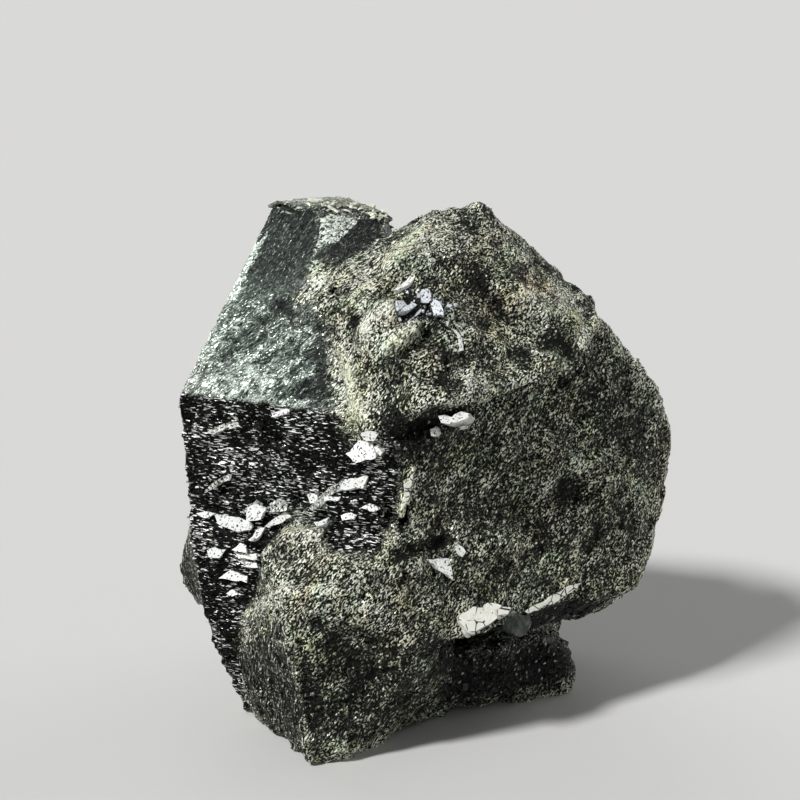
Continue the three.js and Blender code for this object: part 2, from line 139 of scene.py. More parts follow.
# Ridges, knobs and hollows that stand where they do on the real thing: two ends, radius, height
swellings = {
    "paleKnob": ((-6.2, -11.7, 44.5), (-4.1, -11.6, 46.9), 2.1, 1.3),
    "paleKnobLow": ((-4, -13.4, 43.6), (-1.6, -12.6, 45.3), 1.7, 1.2),
    "knobGroove": ((-1.9, -14, 43.4), (0, -12.4, 45), 1.3, -1.3),
    "knobCleft": ((-2.9, -11.4, 47.5), (-2.3, -12, 46.2), 0.9, -1.1),
    "knobBelow": ((-5.2, -13, 42.2), (-4.4, -13.6, 40.8), 2.2, 0.5),
    "violetHollow": ((-1.6, -10.6, 47.4), (0.8, -10.9, 47), 1.9, -0.8),
    "brownHollow": ((4.6, -8.4, 48.2), (6.4, -8.8, 46.6), 3.6, -1.1),
    "flankRidge": ((-5, -8.8, 49), (-0.4, -3, 53.2), 1.1, 0.5),
    "flankRidgeLow": ((-8.2, -9, 46.6), (-5.6, -7.4, 49.2), 0.9, 0.45),
    "flankGroove": ((-4.2, -9.4, 48.2), (0.8, -4.6, 52.2), 0.9, -0.4),
    "shoulderRidge": ((9, -7.4, 46.8), (14.6, -2.4, 46.2), 1.5, 0.7),
    "shoulderGully": ((8.6, -9.4, 43.6), (12, -7.8, 44.8), 1.4, -0.7),
    "lumpOne": ((12.2, -6.2, 45.8), (13.8, -4.8, 45.6), 1.6, 1),
    "lumpTwo": ((14.8, -4.2, 45.2), (15.8, -4.2, 43.4), 1.6, 1.2),
    "lumpBand": ((16.2, -5.6, 41.8), (18.4, -2.4, 43.8), 1.2, 1.1),
    "rightKnobTop": ((17.6, -0.6, 43.2), (18.6, 0.4, 42.2), 1.8, 0.6),
    "streakHollow": ((12.6, -9, 43.2), (15, -8, 41.8), 1.9, -1.4),
    "crestRidge": ((0.8, -0.5, 54.8), (-3.6, -6.4, 50.6), 1.6, 0.55),
    "lipRoll": ((4, -15.4, 39.4), (13.4, -9.6, 41.2), 1.6, 0.6),
    "lipNotch": ((0.8, -17.4, 37.4), (4.8, -16.6, 37.2), 1.5, -1.2),
    "spur": ((4.2, -14.6, 41.2), (4.6, -16, 39.2), 1, 0.6),
    "veinRidge": ((-8.2, -12, 40.8), (-6.4, -14.9, 35.8), 1.3, 0.6),
    "veinRidgeTop": ((-10.6, -4, 47.6), (-9.2, -10.2, 42.4), 1.1, 0.5),
    "cleftByVein": ((-9.4, -5.4, 47.2), (-9.6, -8.8, 43.6), 1.1, -0.9),
    "cleftOnLeft": ((-11.9, -5.4, 45.6), (-11, -9.6, 40.2), 0.8, -0.6),
    "notch": ((-4.4, 2, 53.4), (-4.2, -2.6, 51.4), 0.9, -0.8),
    "recess": ((-2.6, -15.6, 35.4), (4.6, -12.6, 35.8), 1.5, -1.1),
    "crack": ((-2.4, -17.8, 22.9), (1.6, -15.2, 23.2), 0.9, -1.2),
    "uprightRidge": ((-1.6, -15.6, 31.2), (-2.7, -16.6, 26.8), 0.8, 0.7),
    "bay": ((-9, -17, 24.2), (-6.2, -18, 24.3), 2.6, -1.9),
    "upperSlant": ((-24.9, -6.6, 31.4), (-19.9, -8.8, 33.4), 0.7, 0.4),
    "lowerSlant": ((-24.9, -6.5, 25.3), (-19.7, -8.9, 28.9), 0.8, 0.5),
    "browBand": ((-18.8, -11.4, 13.4), (-14.4, -18.2, 18.6), 1.1, 0.8),
    "browBandRight": ((-14.4, -18.2, 18.6), (-9.4, -19.8, 19.6), 1.1, 0.7),
    "browHollow": ((-16.4, -15.4, 13.6), (-11, -20.2, 16.4), 1.5, -0.5),
    "footRidge": ((-14.2, -20.4, 15.4), (-12.4, -20.2, 1), 1, 0.6),
    "footDip": ((-8.4, -20.2, 14), (-6.4, -18.8, 8), 2.8, -0.6),
    "footRoll": ((-4.6, -19, 17), (-1.4, -17.6, 12.4), 1.8, 0.5),
    "lipShadow": ((4.6, -11.6, 36.4), (10, -8.6, 38), 1.5, -0.9),
    "lipShadowRight": ((10, -8.6, 38), (15.6, -5.4, 39.8), 1.3, -0.9),
    "overhang": ((2.6, -15.2, 11.6), (15.4, -8.2, 12.4), 2.2, -1.2),
    "wallDip": ((4, -12.2, 26.6), (10.6, -9.4, 24), 3.4, -0.5),
    "wallSwell": ((14, -6.6, 30.6), (20.4, -3.6, 26.6), 3, 0.45),
    "wallPit": ((15, -6.8, 26.2), (17.4, -5.6, 25.2), 1.8, -0.5),
    "wallRib": ((6, -11.8, 27.4), (9.6, -10, 31.2), 1.6, 0.4),
    "wallGully": ((10, -9.8, 23.6), (13.2, -8.2, 20.4), 2.2, -0.45),
    "shelfLobe": ((14.2, -3.2, 5.4), (15.6, -2.2, 3), 2, 0.5),
    "shelfGroove": ((3, -9.8, 4.4), (12, -5, 4.6), 1.2, -0.5),
    "rearRidge": ((2, 20.4, 34), (-4, 16.6, 8), 2.2, 0.8),
    "rearHollow": ((6, 17.6, 26), (10, 15.6, 14), 3.4, -1),
    "rearKnob": ((10, 13.6, 41), (14, 12, 39), 2.6, 0.9),
}


def softMax(a, b, width):
    overlap = np.maximum(width - np.abs(a - b), 0)
    return np.maximum(a, b) + overlap * overlap / (4 * width)


def softMin(a, b, width):
    return -softMax(-a, -b, width)


# Odd numbers that scatter the points of a lattice, the last one for the seed
scatter = [np.uint32(factor) for factor in (374761393, 668265263, 2147483647, 1274126177)]
wholeRange = 2 ** 32


def latticeValue(x, y, z, seed):  # a fixed value from 0 to 1 for each whole-number point
    x, y, z = [np.asarray(v).astype(np.int32).view(np.uint32) for v in (x, y, z)]
    mixed = x * scatter[0] + y * scatter[1] + z * scatter[2]
    mixed = mixed + np.uint32(seed * int(scatter[3]) % wholeRange)
    mixed = (mixed ^ (mixed >> np.uint32(13))) * scatter[3]
    return ((mixed ^ (mixed >> np.uint32(16))) / float(wholeRange)).astype(np.float32)


def swell(points, size, seed):  # smooth noise from -1 to 1; size is one number or one for each axis
    scaled = points / np.asarray(size, np.float32)
    floor = np.floor(scaled)
    part = scaled - floor
    ease = part * part * (3 - 2 * part)
    x, y, z = floor.astype(np.int32).T
    total = 0
    for dx, dy, dz in product((0, 1), repeat=3):
        weight = (ease[:, 0] if dx else 1 - ease[:, 0]) * (ease[:, 1] if dy else 1 - ease[:, 1])
        weight = weight * (ease[:, 2] if dz else 1 - ease[:, 2])
        total = total + weight * latticeValue(x + dx, y + dy, z + dz, seed)
    return 2 * total - 1


flowAxis = np.array(Vector(stoneForm["flow"]).normalized(), np.float32)


def chips(points, size, seed):  # tilted flat facets, one for each cell of a scattered pattern
    along = points @ flowAxis
    shortened = points - along[:, None] * flowAxis * np.float32(1 - stoneForm["flowStretch"])
    scaled = shortened / np.float32(size)
    base = np.floor(scaled - 0.5).astype(np.int32)
    best = np.full(len(points), np.inf, np.float32)
    value = np.zeros(len(points), np.float32)
    for step in product((0, 1), repeat=3):
        cell = base + np.array(step, np.int32)
        jitter = [latticeValue(*cell.T, seed + axis) for axis in range(3)]
        away = scaled - cell - 0.15 - 0.7 * np.stack(jitter, 1)  # its point keeps clear of its walls
        gap = (away * away).sum(1)
        closer = gap < best
        best = np.where(closer, gap, best)
        tilt = np.stack([jitter[1], jitter[2], jitter[0]], 1) * 2 - 1
        value = np.where(closer, (away * tilt).sum(1) + jitter[0] - 0.5, value)
    return value


def nearness(points, start, end, radius):  # 1 along the line from start to end, 0 at the radius
    start, end = np.array(start, np.float32), np.array(end, np.float32)
    along = np.clip((points - start) @ (end - start) / max(((end - start) ** 2).sum(), 1e-6), 0, 1)
    away = points - start - along[:, None] * (end - start)
    share = np.clip(1 - (away * away).sum(1) / radius ** 2, 0, 1)
    return share * share


def facePlanes(corners):  # outward normal and distance of each face of the corners' hull
    hull = bmesh.new()
    for corner in corners:
        hull.verts.new(corner)
    bmesh.ops.convex_hull(hull, input=hull.verts)
    bmesh.ops.recalc_face_normals(hull, faces=hull.faces)
    alike = math.cos(math.radians(stoneForm["sameFaceAngle"]))
    planes = []
    for face in sorted(hull.faces, key=lambda face: -face.calc_area()):
        middle = face.calc_center_median()
        known = any(
            face.normal.dot(normal) > alike and abs(normal.dot(middle) - offset) < stoneForm["sameFaceGap"]
            for normal, offset in planes)
        if face.calc_area() > stoneForm["smallestFace"] and not known:
            planes.append((face.normal.copy(), face.normal.dot(middle)))
    hull.free()
    return planes


# Two ends, radius and strength of each patch
patches = {
    # Pale cream veins and knobs; the patches on the right shoulder and the thin one along the right rim are
    # painted light, where those catch the light
    "cream": [
        ((-11.1, -1.7, 48.8), (-9.5, -9.4, 42.8), 2, 0.9), ((-9, -9.8, 42.4), (-6.2, -14.9, 35.3), 2.8, 1),
        ((-9, -4, 49.6), (-4, -6, 50.4), 3.4, 0.45), ((-3, -5.6, 51), (1.6, -3, 53.6), 3.6, 0.45),
        ((-13.4, -3.2, 46.1), (-5.3, -4, 50.8), 1, 0.7), ((-4.2, -6.1, 51.3), (-1.5, -4.2, 52.7), 1.6, 0.6),
        ((-6.4, -11.4, 44.4), (-3.9, -11.6, 47), 2.1, 0.9),
        ((-4, -13.5, 43.6), (-1.6, -12.6, 45.3), 1.5, 0.9),
        ((-7.2, -9.2, 47.9), (-6, -8.2, 48.6), 0.9, 0.9), ((-6.4, -10, 46), (-5.4, -12.6, 43), 2.4, 0.4),
        ((-14.6, -11.8, 23.9), (-11.6, -14.8, 24.2), 1.7, 0.9),
        ((-11.6, -14.8, 24), (-8.2, -18.1, 22.6), 1.3, 0.9),
        ((-20, -11, 9), (-18.6, -11.6, 13.6), 1.2, 0.5),
        ((-18.6, -11.6, 13.6), (-14.6, -17.6, 18.6), 1.4, 0.9),
        ((-14.6, -17.6, 18.6), (-9.6, -19.7, 19.6), 1.3, 0.9),
        ((-5.6, -17.8, 23.6), (-3.2, -17.2, 25), 1.5, 0.7), ((12.2, -6.4, 45.8), (16, -4.2, 43.6), 1.4, 1),
        ((16.2, -5.6, 41.8), (18.4, -2.4, 43.8), 0.9, 1), ((9.8, -7, 46.8), (15.4, -1.6, 46), 1.9, 0.8),
        ((8, -9, 45.4), (15, -3, 45.6), 3, 0.6), ((4.2, -14.6, 41.2), (5.4, -15.6, 39.2), 1.2, 0.7),
        ((5, -15, 39.6), (8, -12.6, 42), 1.6, 0.4), ((-1.4, -15.4, 31.1), (-2.8, -16.4, 27.1), 0.9, 0.9),
        ((14.4, -6.5, 28.9), (17.2, -5, 28.2), 1.2, 0.25), ((23.4, -1.4, 25), (25.1, -0.6, 21.5), 1.3, 0.6),
        ((20.5, 1.7, 41), (27.8, 3.9, 29.4), 0.6, 0.6), ((-13.6, -20.4, 14.6), (-12.6, -20.2, 3), 0.5, 0.5),
        ((-2.6, -18.6, 14), (3.4, -16, 14), 1.6, 0.3), ((-18, 10, 44), (-8, 16, 42), 3, 0.5),
        ((4, 18, 32), (12, 15, 34), 3, 0.5), ((-7.6, -13, 41), (-5.6, -15, 37), 2, 1),
        ((-7, -14.8, 37), (-5.6, -15.3, 34.6), 1.7, 0.9), ((-10, -18, 20), (-4, -18, 18), 4, 0.2),
        ((20, 8, 36), (16, 13, 32), 2.6, 0.5), ((-8, 17, 14), (2, 18, 18), 2.6, 0.4)],
    # Painted shade: darker in the hollows, grooves and cracks, under the lip and in the cave under the
    # overhang; a few patches are darker stone
    "dark": [
        ((-3.6, -15.8, 35.8), (5, -13, 35.8), 2.6, 1), ((2.4, -14, 10.6), (17, -6, 11), 4.4, 1),
        ((-2, -16.6, 33.8), (5, -13.6, 34.4), 3, 0.9), ((9.6, -11.8, 41.6), (14, -7.8, 43), 2, 0.5),
        ((0.4, -17.8, 13), (2, -14.4, 11.4), 2.2, 0.9), ((-10, -19.6, 7), (0, -17, 6), 5, 0.5),
        ((-12, -20.2, 12), (-4.6, -19, 11), 4, 0.5), ((-2, -14.6, 42.4), (6, -12.6, 42.6), 2.4, 0.2),
        ((4.4, -13, 36.4), (15.6, -6.4, 38.6), 2, 0.6), ((-17.4, -15.4, 11), (-15, -17.4, 4), 2.4, 0.5),
        ((-12.6, -20.2, 11), (-11.4, -20, 4), 2.4, 0.5), ((-19.4, -11.4, 8), (-17.4, -13.4, 1), 1.6, 0.5),
        ((4.4, -8, 48.6), (7.4, -9, 45.8), 4, 0.5), ((-9.8, -5, 46.6), (-9.6, -9, 43.4), 1.5, 0.7),
        ((-2.4, -17.8, 22.9), (1.8, -15, 23.2), 1.1, 0.8), ((-4, -18.6, 7), (2, -14, 4), 4.4, 0.5),
        ((10, -9, 21), (21, -4, 21), 5, 0.3), ((18, -3, 36), (24, 0, 30), 4.4, 0.35),
        ((-8, 8, 4), (12, 8, 4), 6, 0.4), ((-11.9, -5.4, 45.6), (-11, -9.6, 40.2), 0.9, 0.6),
        ((-15.4, -9.9, 37.9), (-10.9, -10.9, 38.6), 1.3, 0.9),
        ((-15.8, -2.8, 45.5), (-14.5, -3.9, 44.9), 0.9, 0.7),
        ((12.8, -8.8, 43.2), (15.2, -8.2, 41.6), 1.6, 1), ((14.6, -7, 26.1), (17.6, -5.6, 25), 1.7, 0.5),
        ((-23.6, -8.9, 14.1), (-20.6, -10.6, 9.2), 2.2, 0.9), ((-27, 2, 16), (-26, 2, 10), 3.2, 0.5),
        ((3, -9.6, 4.4), (16, -2.6, 4), 3.8, 0.8), ((-1.4, -10.6, 47.3), (0.8, -10.9, 47), 1.3, 0.9),
        ((-1.9, -14, 43.4), (0, -12.4, 45), 0.9, 0.7), ((-3, -11.2, 47.4), (-2.2, -12.2, 46), 0.7, 0.8),
        ((-7.8, -10.2, 45.8), (-7, -12.6, 43.2), 0.6, 0.6),
        ((-22.6, -8, 21.4), (-18.8, -10, 21.4), 0.8, 0.6), ((14, 12, 20), (8, 16, 14), 4, 0.5)],
    "rust": [
        ((7.6, -7.6, 47.2), (12.6, -2.4, 47.4), 1.8, 1), ((-21.4, -8.6, 8), (-20.4, -10, 10), 1.6, 0.7),
        ((-10.5, -17.1, 22.5), (-13, -19, 18.3), 1.4, 0.4), ((4.4, -8, 48.6), (7.4, -9, 45.8), 3, 0.4),
        ((6, 12, 44), (12, 12, 40), 3.5, 0.6)],
    "teal": [
        ((-20, -3, 41), (-15, -8.6, 38.6), 6, 1), ((-20, 0, 46), (-15, 3, 52), 6, 0.8),
        ((-16, -10.6, 25.6), (-14.6, -11, 25.8), 1.6, 0.8), ((-4, -14, 44), (-2.8, -16.2, 35.6), 2, 0.5),
        ((-3.6, -0.4, 52.8), (-1.6, 0.4, 53.4), 1.4, 1), ((3, -12, 27), (6, -12, 23), 2.4, 0.6),
        ((8, -13, 17.6), (12, -10.6, 16.6), 2, 0.7)],
    "violet": [
        ((-1.6, -10.8, 47.4), (1.4, -10.9, 47), 1.9, 1),
        ((-3.6, -16, 35.6), (-2.8, -16.2, 34.8), 1.1, 0.6)],
    "soft": [
        ((-6.2, -11.6, 44.6), (-4.1, -11.6, 46.9), 1.6, 0.9),
        ((-4, -13.5, 43.6), (-1.6, -12.6, 45.3), 1.4, 0.9),
        ((12.8, -8.8, 43.2), (15.2, -8.2, 41.6), 1.4, 0.7),
        ((16.2, -5.6, 41.8), (18.4, -2.4, 43.8), 0.9, 0.8),
        ((14.8, -4.2, 45.2), (15.8, -4.4, 43.4), 1.3, 0.8),
        ((12.2, -6.2, 45.8), (13.8, -4.8, 45.6), 1, 0.8), ((24.4, -1, 24), (24.8, -0.8, 22), 1.2, 0.8),
        ((-2.8, -16, 34.8), (-2.4, -16.2, 33.4), 1.1, 0.8),
        ((-8, -12.4, 40.4), (-6.8, -14.4, 36.8), 1.3, 0.9),
        ((-13.6, -12.8, 24.2), (-12, -14.6, 24.2), 1.1, 0.8)],
    # Patches that make the slope paler at its foot and along its left edge
    "frost": [
        ((-24.6, -6.4, 37.6), (-14.8, -10.6, 37.6), 2.4, 1),
        ((-20, -7.6, 39), (-15.4, -9.6, 38.6), 3.4, 0.8), ((-24, -4, 40), (-21, -2.6, 43), 2.2, 0.6),
        ((-17.2, 4.2, 53), (-20.8, -0.4, 45.6), 0.8, 1), ((-21.4, -1.8, 44), (-24.8, -4.6, 38.4), 0.8, 0.8),
        ((-14, -1.4, 48), (-18.4, -2, 45.4), 1.4, 0.5), ((-17, -6, 41.2), (-13.3, -6.6, 42.1), 1.6, 0.5)],
    "rim": [
        ((-16.6, 5.6, 54.8), (-11, 4.6, 55), 1.1, 0.9), ((-11, 5.4, 55), (-4.4, 6, 53.8), 1.8, 1)],
    # Painted shade: the cave under the overhang and the hollow under the lip, painted near black with
    # painted glints
    "cavern": [
        ((3, -13.4, 10.4), (9, -10, 11), 3.6, 1), ((9, -10, 11), (18, -4.6, 11), 3.4, 1),
        ((4, -9.6, 5.4), (16.4, -2, 4.6), 4.2, 1), ((-1.8, -16.2, 35), (3.6, -13.4, 35), 2.2, 0.9)],
    "streaked": [
        ((-13.4, -2, 47), (-5.3, -4, 50.8), 2.6, 1), ((-5, -7, 50), (1.6, -2, 54), 3, 0.9),
        ((-8.2, -9, 46.6), (-5.6, -11.6, 44), 1.8, 0.7), ((12.8, -8.8, 43.2), (15.2, -8.2, 41.6), 1.6, 0.8),
        ((24, 2, 36), (27.6, 3.6, 30), 1.2, 0.6)],
}
baredSpots = [((-9, -15.9, 24.4), (-6.1, -16.8, 24.5), 2.1, 1)]  # crystal that shows through the ore


def patchMask(points, spots):
    reach = stoneForm["patchReach"]
    return np.max([
        strength * nearness(points, start, end, radius * reach)
        for start, end, radius, strength in spots], 0)


# Flat facets of the top, each a convex outline; the smooth one is open at its foot, where it fades out
topFacets = {
    "smooth": [(-19.8, 0.3, 46.9), (-15.9, 5.2, 54.3), (-11.8, 4.3, 54.1), (-12.3, -0.9, 49),
        (-13.6, -2.6, 46.9)],
    "corner": [(-18.6, 2.6, 51), (-16.9, 5.6, 54.6), (-15.4, 5.6, 54.6), (-14.6, 5, 54.4),
        (-18.6, 2.6, 51)],
    "bright": [(-11.1, 4, 54.1), (-7.1, 4.4, 53.3), (-9.7, 0.8, 51.4), (-11.9, 0.7, 51), (-11.1, 4, 54.1)],
    "dusky": [(-5.2, 5.2, 53.4), (-4.9, -1, 51.7), (-9.2, -0.6, 50.3), (-11.8, -0.8, 49.5),
        (-12.2, -0.3, 49.9), (-5.2, 5.2, 53.4)],
}


# Growth steps: ledges that face up, each running as far as its strip is wide
stepSets = {
    "broad": {"pitch": 3.1, "height": 0.5, "tread": 0.2, "width": 5.0, "wander": 0.5, "seed": 21},
    "fine": {"pitch": 1.05, "height": 0.3, "tread": 0.36, "width": 1.7, "wander": 0.7, "seed": 31},
}
# Taken off the steps' heights, so that they lie evenly about their face
stepMiddles = {"both": 0.4, "fine": 0.15}
frontFacing = np.array((-0.43, -0.9, 0.01), np.float32)
frontAlong = np.array((0.9, -0.43, 0), np.float32)
rearAlong = np.array((0.5, 0.85, 0), np.float32)


def growthSteps(points, along, name):
    steps = stepSets[name]
    strip = np.floor(points @ along / steps["width"] + 0.8 * swell(points, steps["width"], steps["seed"]))
    wander = steps["wander"] * swell(points, 3 * steps["pitch"], steps["seed"] + 1)
    level = points[:, 2] / steps["pitch"] + wander + latticeValue(strip, strip * 0, strip * 0, steps["seed"])
    part = level - np.floor(level)
    rise = 1 - steps["tread"]
    return steps["height"] * np.where(part < rise, 1 - part / rise, (part - rise) / steps["tread"])


def bothSteps(points, along):
    return growthSteps(points, along, "broad") + growthSteps(points, along, "fine") - stepMiddles["both"]


def frontRelief(points):
    return bothSteps(points, frontAlong)


def rearRelief(points):
    return bothSteps(points, rearAlong)


def stepRelief(points):
    return growthSteps(points, frontAlong, "fine") - stepMiddles["fine"]


# Height, size and seed of each set of waves, facets and ribs
slopeForm = {
    "smoothFrom": 46.5,
    "fade": 3,
    "waves": [(0.2, (3.5, 1.2, 1.2), 42), (0.16, 0.9, 41)],
    "facets": (0.16, 0.8, 45),
}
bladeRibs = (0.35, (0.8, 0.8, 9), 51)


def slopeRelief(points):  # waves across the slope, which fade out towards its smooth top
    rough = np.clip((slopeForm["smoothFrom"] - points[:, 2]) / slopeForm["fade"], 0, 1)
    waves = sum(height * swell(points, size, seed) for height, size, seed in slopeForm["waves"])
    height, size, seed = slopeForm["facets"]
    return rough * (waves + height * chips(points, size, seed))


def bladeRelief(points):
    height, size, seed = bladeRibs
    return height * swell(points, size, seed)


# Relief of the faces that look a given way
reliefs = {
    "leftCrystal": [(frontFacing, frontRelief), (np.array((-0.4, -0.65, 0.62)), slopeRelief)],
    "lowStep": [(frontFacing, stepRelief)],
    "midStep": [(frontFacing, stepRelief)],
    "rearCrystal": [(np.array((-0.8, 0.5, 0.1)), rearRelief), (np.array((-0.3, 0.95, 0.1)), rearRelief)],
    "leftFlake": [(np.array((-0.8, -0.6, 0)), bladeRelief)],
}


def reliefPlanes(name, corners):
    return [
        (np.array(normal, np.float32), offset,
         [relief for facing, relief in reliefs.get(name, [])
          if np.array(normal) @ facing > stoneForm["faceLikeness"]])
        for normal, offset in facePlanes(corners)]


for name, block in blocks.items():
    block["planes"] = reliefPlanes(name, block["corners"])
soleHollow["planes"] = reliefPlanes("soleHollow", soleHollow["corners"])


def faceShare(name, direction, points):  # 1 on the block's face that looks that way, 0 off it
    own = points - np.array((0, stoneForm["backShift"], 0), np.float32)
    planes = blocks[name]["planes"]
    fromPlanes = np.stack([own @ normal - np.float32(offset) for normal, offset, _ in planes])
    chosen = np.argmax([normal @ np.array(direction) for normal, _, _ in planes])
    return np.clip(1 - (fromPlanes.max(0) - fromPlanes[chosen]) / stoneForm["faceFade"], 0, 1)


def blockDistance(block, points, lumps):
    kind = kinds[block["kind"]]
    distance = None
    for normal, offset, facing in block["planes"]:
        fromPlane = points @ normal - np.float32(offset)
        for relief in facing:
            near = np.abs(fromPlane) < stoneForm["faceReach"]
            fromPlane[near] += relief(points[near])
        distance = fromPlane if distance is None else softMax(distance, fromPlane, kind["edge"])
    for share, lump in zip(kind["shares"], lumps):
        if share:
            distance = distance - share * lump
    return distance


def oreLumps(points):
    broken = 1 - stoneForm["smoothed"] * patchMask(points, patches["soft"])
    lumps = []
    for seed, (size, height) in enumerate(stoneForm["swells"]):
        lumps.append(height * swell(points, size, seed + 1))
    for seed, (size, height) in enumerate(stoneForm["chips"]):
        lumps.append(broken * height * chips(points, size, stoneForm["chipSeed"] + 10 * seed))
    return lumps


def blockDistances(points):
    own = points - np.array((0, stoneForm["backShift"], 0), np.float32)
    lumps = oreLumps(own)
    distances = {name: blockDistance(block, own, lumps) for name, block in blocks.items()}
    return distances, blockDistance(soleHollow, own, lumps)


def skinDistance(points):
    distances, hollow = blockDistances(points)
    skin = distances["leftCrystal"]
    for name, block in blocks.items():
        if name != "leftCrystal":
            skin = softMin(skin, distances[name], kinds[block["kind"]]["blend"])
    for start, end, radius, height in swellings.values():
        skin = skin - height * nearness(points, start, end, radius)
    skin = softMax(skin, -hollow, kinds[soleHollow["kind"]]["blend"])
    return np.maximum(skin, -points[:, 2])


cellCorners = [(c & 1, c >> 1 & 1, c >> 2) for c in range(8)]


def cornerGroups(code, wanted):  # separate groups that a cell's inside (or outside) corners form
    left = [c for c in range(8) if (code >> c & 1) == wanted]
    groups = 0
    while left:
        group = [left.pop()]
        for corner in group:
            linked = [other for other in left if other ^ corner in (1, 2, 4)]
            left = [other for other in left if other not in linked]
            group += linked
        groups += 1
    return groups


pinchedCodes = np.array([cornerGroups(code, 1) > 1 or cornerGroups(code, 0) > 1 for code in range(256)])


def cellViews(grid):  # the grid's value at each of the eight corners of every cell
    x, y, z = grid.shape
    return [grid[i:x - 1 + i, j:y - 1 + j, k:z - 1 + k] for i, j, k in cellCorners]


def cellCodes(grid):
    return sum((view < 0).astype(np.int32) << c for c, view in enumerate(cellViews(grid)))


def sampleSkin():
    cell, count = stoneForm["cell"], stoneForm["cellsInBlock"]
    half = [math.ceil(length / (cell * count)) for length in stoneForm["reach"]]
    start = np.array((-half[0] * count * cell, -half[1] * count * cell, -cell / 2), np.float32)
    shape = np.array((2 * half[0], 2 * half[1], half[2]))
    middles = np.stack(np.meshgrid(*[np.arange(n) for n in shape], indexing="ij"), -1).reshape(-1, 3)
    points = start + (middles + 0.5) * (count * cell)
    coarse = skinDistance(points.astype(np.float32)).reshape(shape)
    grid = np.repeat(np.repeat(np.repeat(coarse, count, 0), count, 1), count, 2)
    share, length = stoneForm["near"]
    near = np.argwhere(np.abs(grid) < count * cell * share + length)
    grid[tuple(near.T)] = skinDistance((start + near * cell).astype(np.float32))
    return grid, start


def openPinches(grid):  # fills cells where the skin would touch itself
    while True:
        pinched = np.argwhere(pinchedCodes[cellCodes(grid)])
        if not len(pinched):
            return grid
        around = pinched[:, None, :] + np.array(cellCorners)
        values = grid[tuple(around.reshape(-1, 3).T)].reshape(-1, 8)
        nearest = np.where(values >= 0, values, np.inf).argmin(1)
        grid[tuple(around[np.arange(len(around)), nearest].T)] = -stoneForm["fill"]


def skinPoints(grid, start):
    cell = stoneForm["cell"]
    codes = cellCodes(grid)
    cells = np.argwhere((codes > 0) & (codes < 255))
    values = np.stack([view[tuple(cells.T)] for view in cellViews(grid)], 1)
    total, crossings = np.zeros((len(cells), 3)), np.zeros((len(cells), 1))
    for a in range(8):
        for bit in (1, 2, 4):
            if not a & bit:
                b = a | bit
                crossed = (values[:, a] < 0) != (values[:, b] < 0)
                share = values[crossed, a] / (values[crossed, a] - values[crossed, b])
                edge = np.array(cellCorners[b]) - cellCorners[a]
                where = np.array(cellCorners[a]) + share[:, None] * edge
                total[crossed] += where
                crossings[crossed] += 1
    low, room = start + cells * cell, stoneForm["slideRoom"]
    points = low + total / crossings * cell
    for _ in range(2):  # slides each point onto the skin, within its own cell
        points = np.clip(slideToSkin(points), low + room * cell, low + (1 - room) * cell)
    points[cells[:, 2] == 0, 2] = 0  # the feet are flat
    return cells, points.astype(np.float32)


def slideToSkin(points):
    points = points.astype(np.float32)
    step = np.float32(stoneForm["slideStep"])
    away = skinDistance(points)
    slope = np.stack([
        (skinDistance(points + step * axis) - away) / step for axis in np.eye(3, dtype=np.float32)], 1)
    steepness = np.maximum((slope * slope).sum(1, keepdims=True), 0.3)
    return points - away[:, None] * slope / steepness


def skinQuads(grid, cells):  # one quad around each grid edge that crosses the skin
    pointOf = np.full(grid.shape, -1)
    pointOf[tuple(cells.T)] = np.arange(len(cells))
    inside = grid < 0
    quads = []
    for axis in range(3):
        here = [slice(None)] * 3
        there = [slice(None)] * 3
        here[axis], there[axis] = slice(0, -1), slice(1, None)
        crossed = np.argwhere(inside[tuple(here)] != inside[tuple(there)])
        outward = inside[tuple(crossed.T)]
        second, third = np.roll(np.eye(3, dtype=int), -axis - 1, 0)[:2]
        around = [crossed, crossed - second, crossed - second - third, crossed - third]
        loop = np.stack([pointOf[tuple(cell.T)] for cell in around], 1)
        loop[~outward] = loop[~outward][:, ::-1]
        quads.append(loop)
    return np.concatenate(quads)


def largestShell(pointCount, quads):  # leaves out crumbs that float free and bubbles sealed inside
    label = np.arange(pointCount)
    while True:
        lowest = label[quads].min(1)
        before = label.copy()
        for side in range(4):
            np.minimum.at(label, quads[:, side], lowest)
        label = label[label]
        if (label == before).all():
            break
    return label[quads[:, 0]] == np.bincount(label[quads[:, 0]]).argmax()


def addObject(name, mesh):
    made = bpy.data.objects.new(name, mesh)
    bpy.context.collection.objects.link(made)
    return made


def thinned(made, triangles):  # fewer triangles, the flattest places first
    modifier = made.modifiers.new("thin", "DECIMATE")
    modifier.ratio = min(1, triangles / (2 * len(made.data.polygons)))
    bpy.context.view_layer.update()
    mesh = bpy.data.meshes.new_from_object(made.evaluated_get(bpy.context.evaluated_depsgraph_get()))
    made.modifiers.remove(modifier)
    made.data = mesh
    return mesh


def meshPoints(mesh):  # in millimetres
    points = np.zeros(len(mesh.vertices) * 3, np.float32)
    mesh.vertices.foreach_get("co", points)
    return points.reshape(-1, 3) / millimetre


def makeStone():
    grid, start = sampleSkin()
    grid = openPinches(grid)
    cells, points = skinPoints(grid, start)
    quads = skinQuads(grid, cells)
    quads = quads[largestShell(len(points), quads)]
    used, quads = np.unique(quads, return_inverse=True)
    mesh = bpy.data.meshes.new("stone")
    mesh.from_pydata((points[used] * millimetre).tolist(), [], quads.reshape(-1, 4).tolist())
    made = addObject("stone", mesh)
    print("skin found:", len(mesh.polygons), "quads")
    mesh = thinned(made, stoneForm["triangles"])
    mesh.shade_smooth()
    mesh.set_sharp_from_angle(angle=math.radians(stoneForm["sharpAngle"]))
    return made


stone = makeStone()
stonePoints = meshPoints(stone.data)
print("stone skin:", len(stone.data.polygons), "faces")


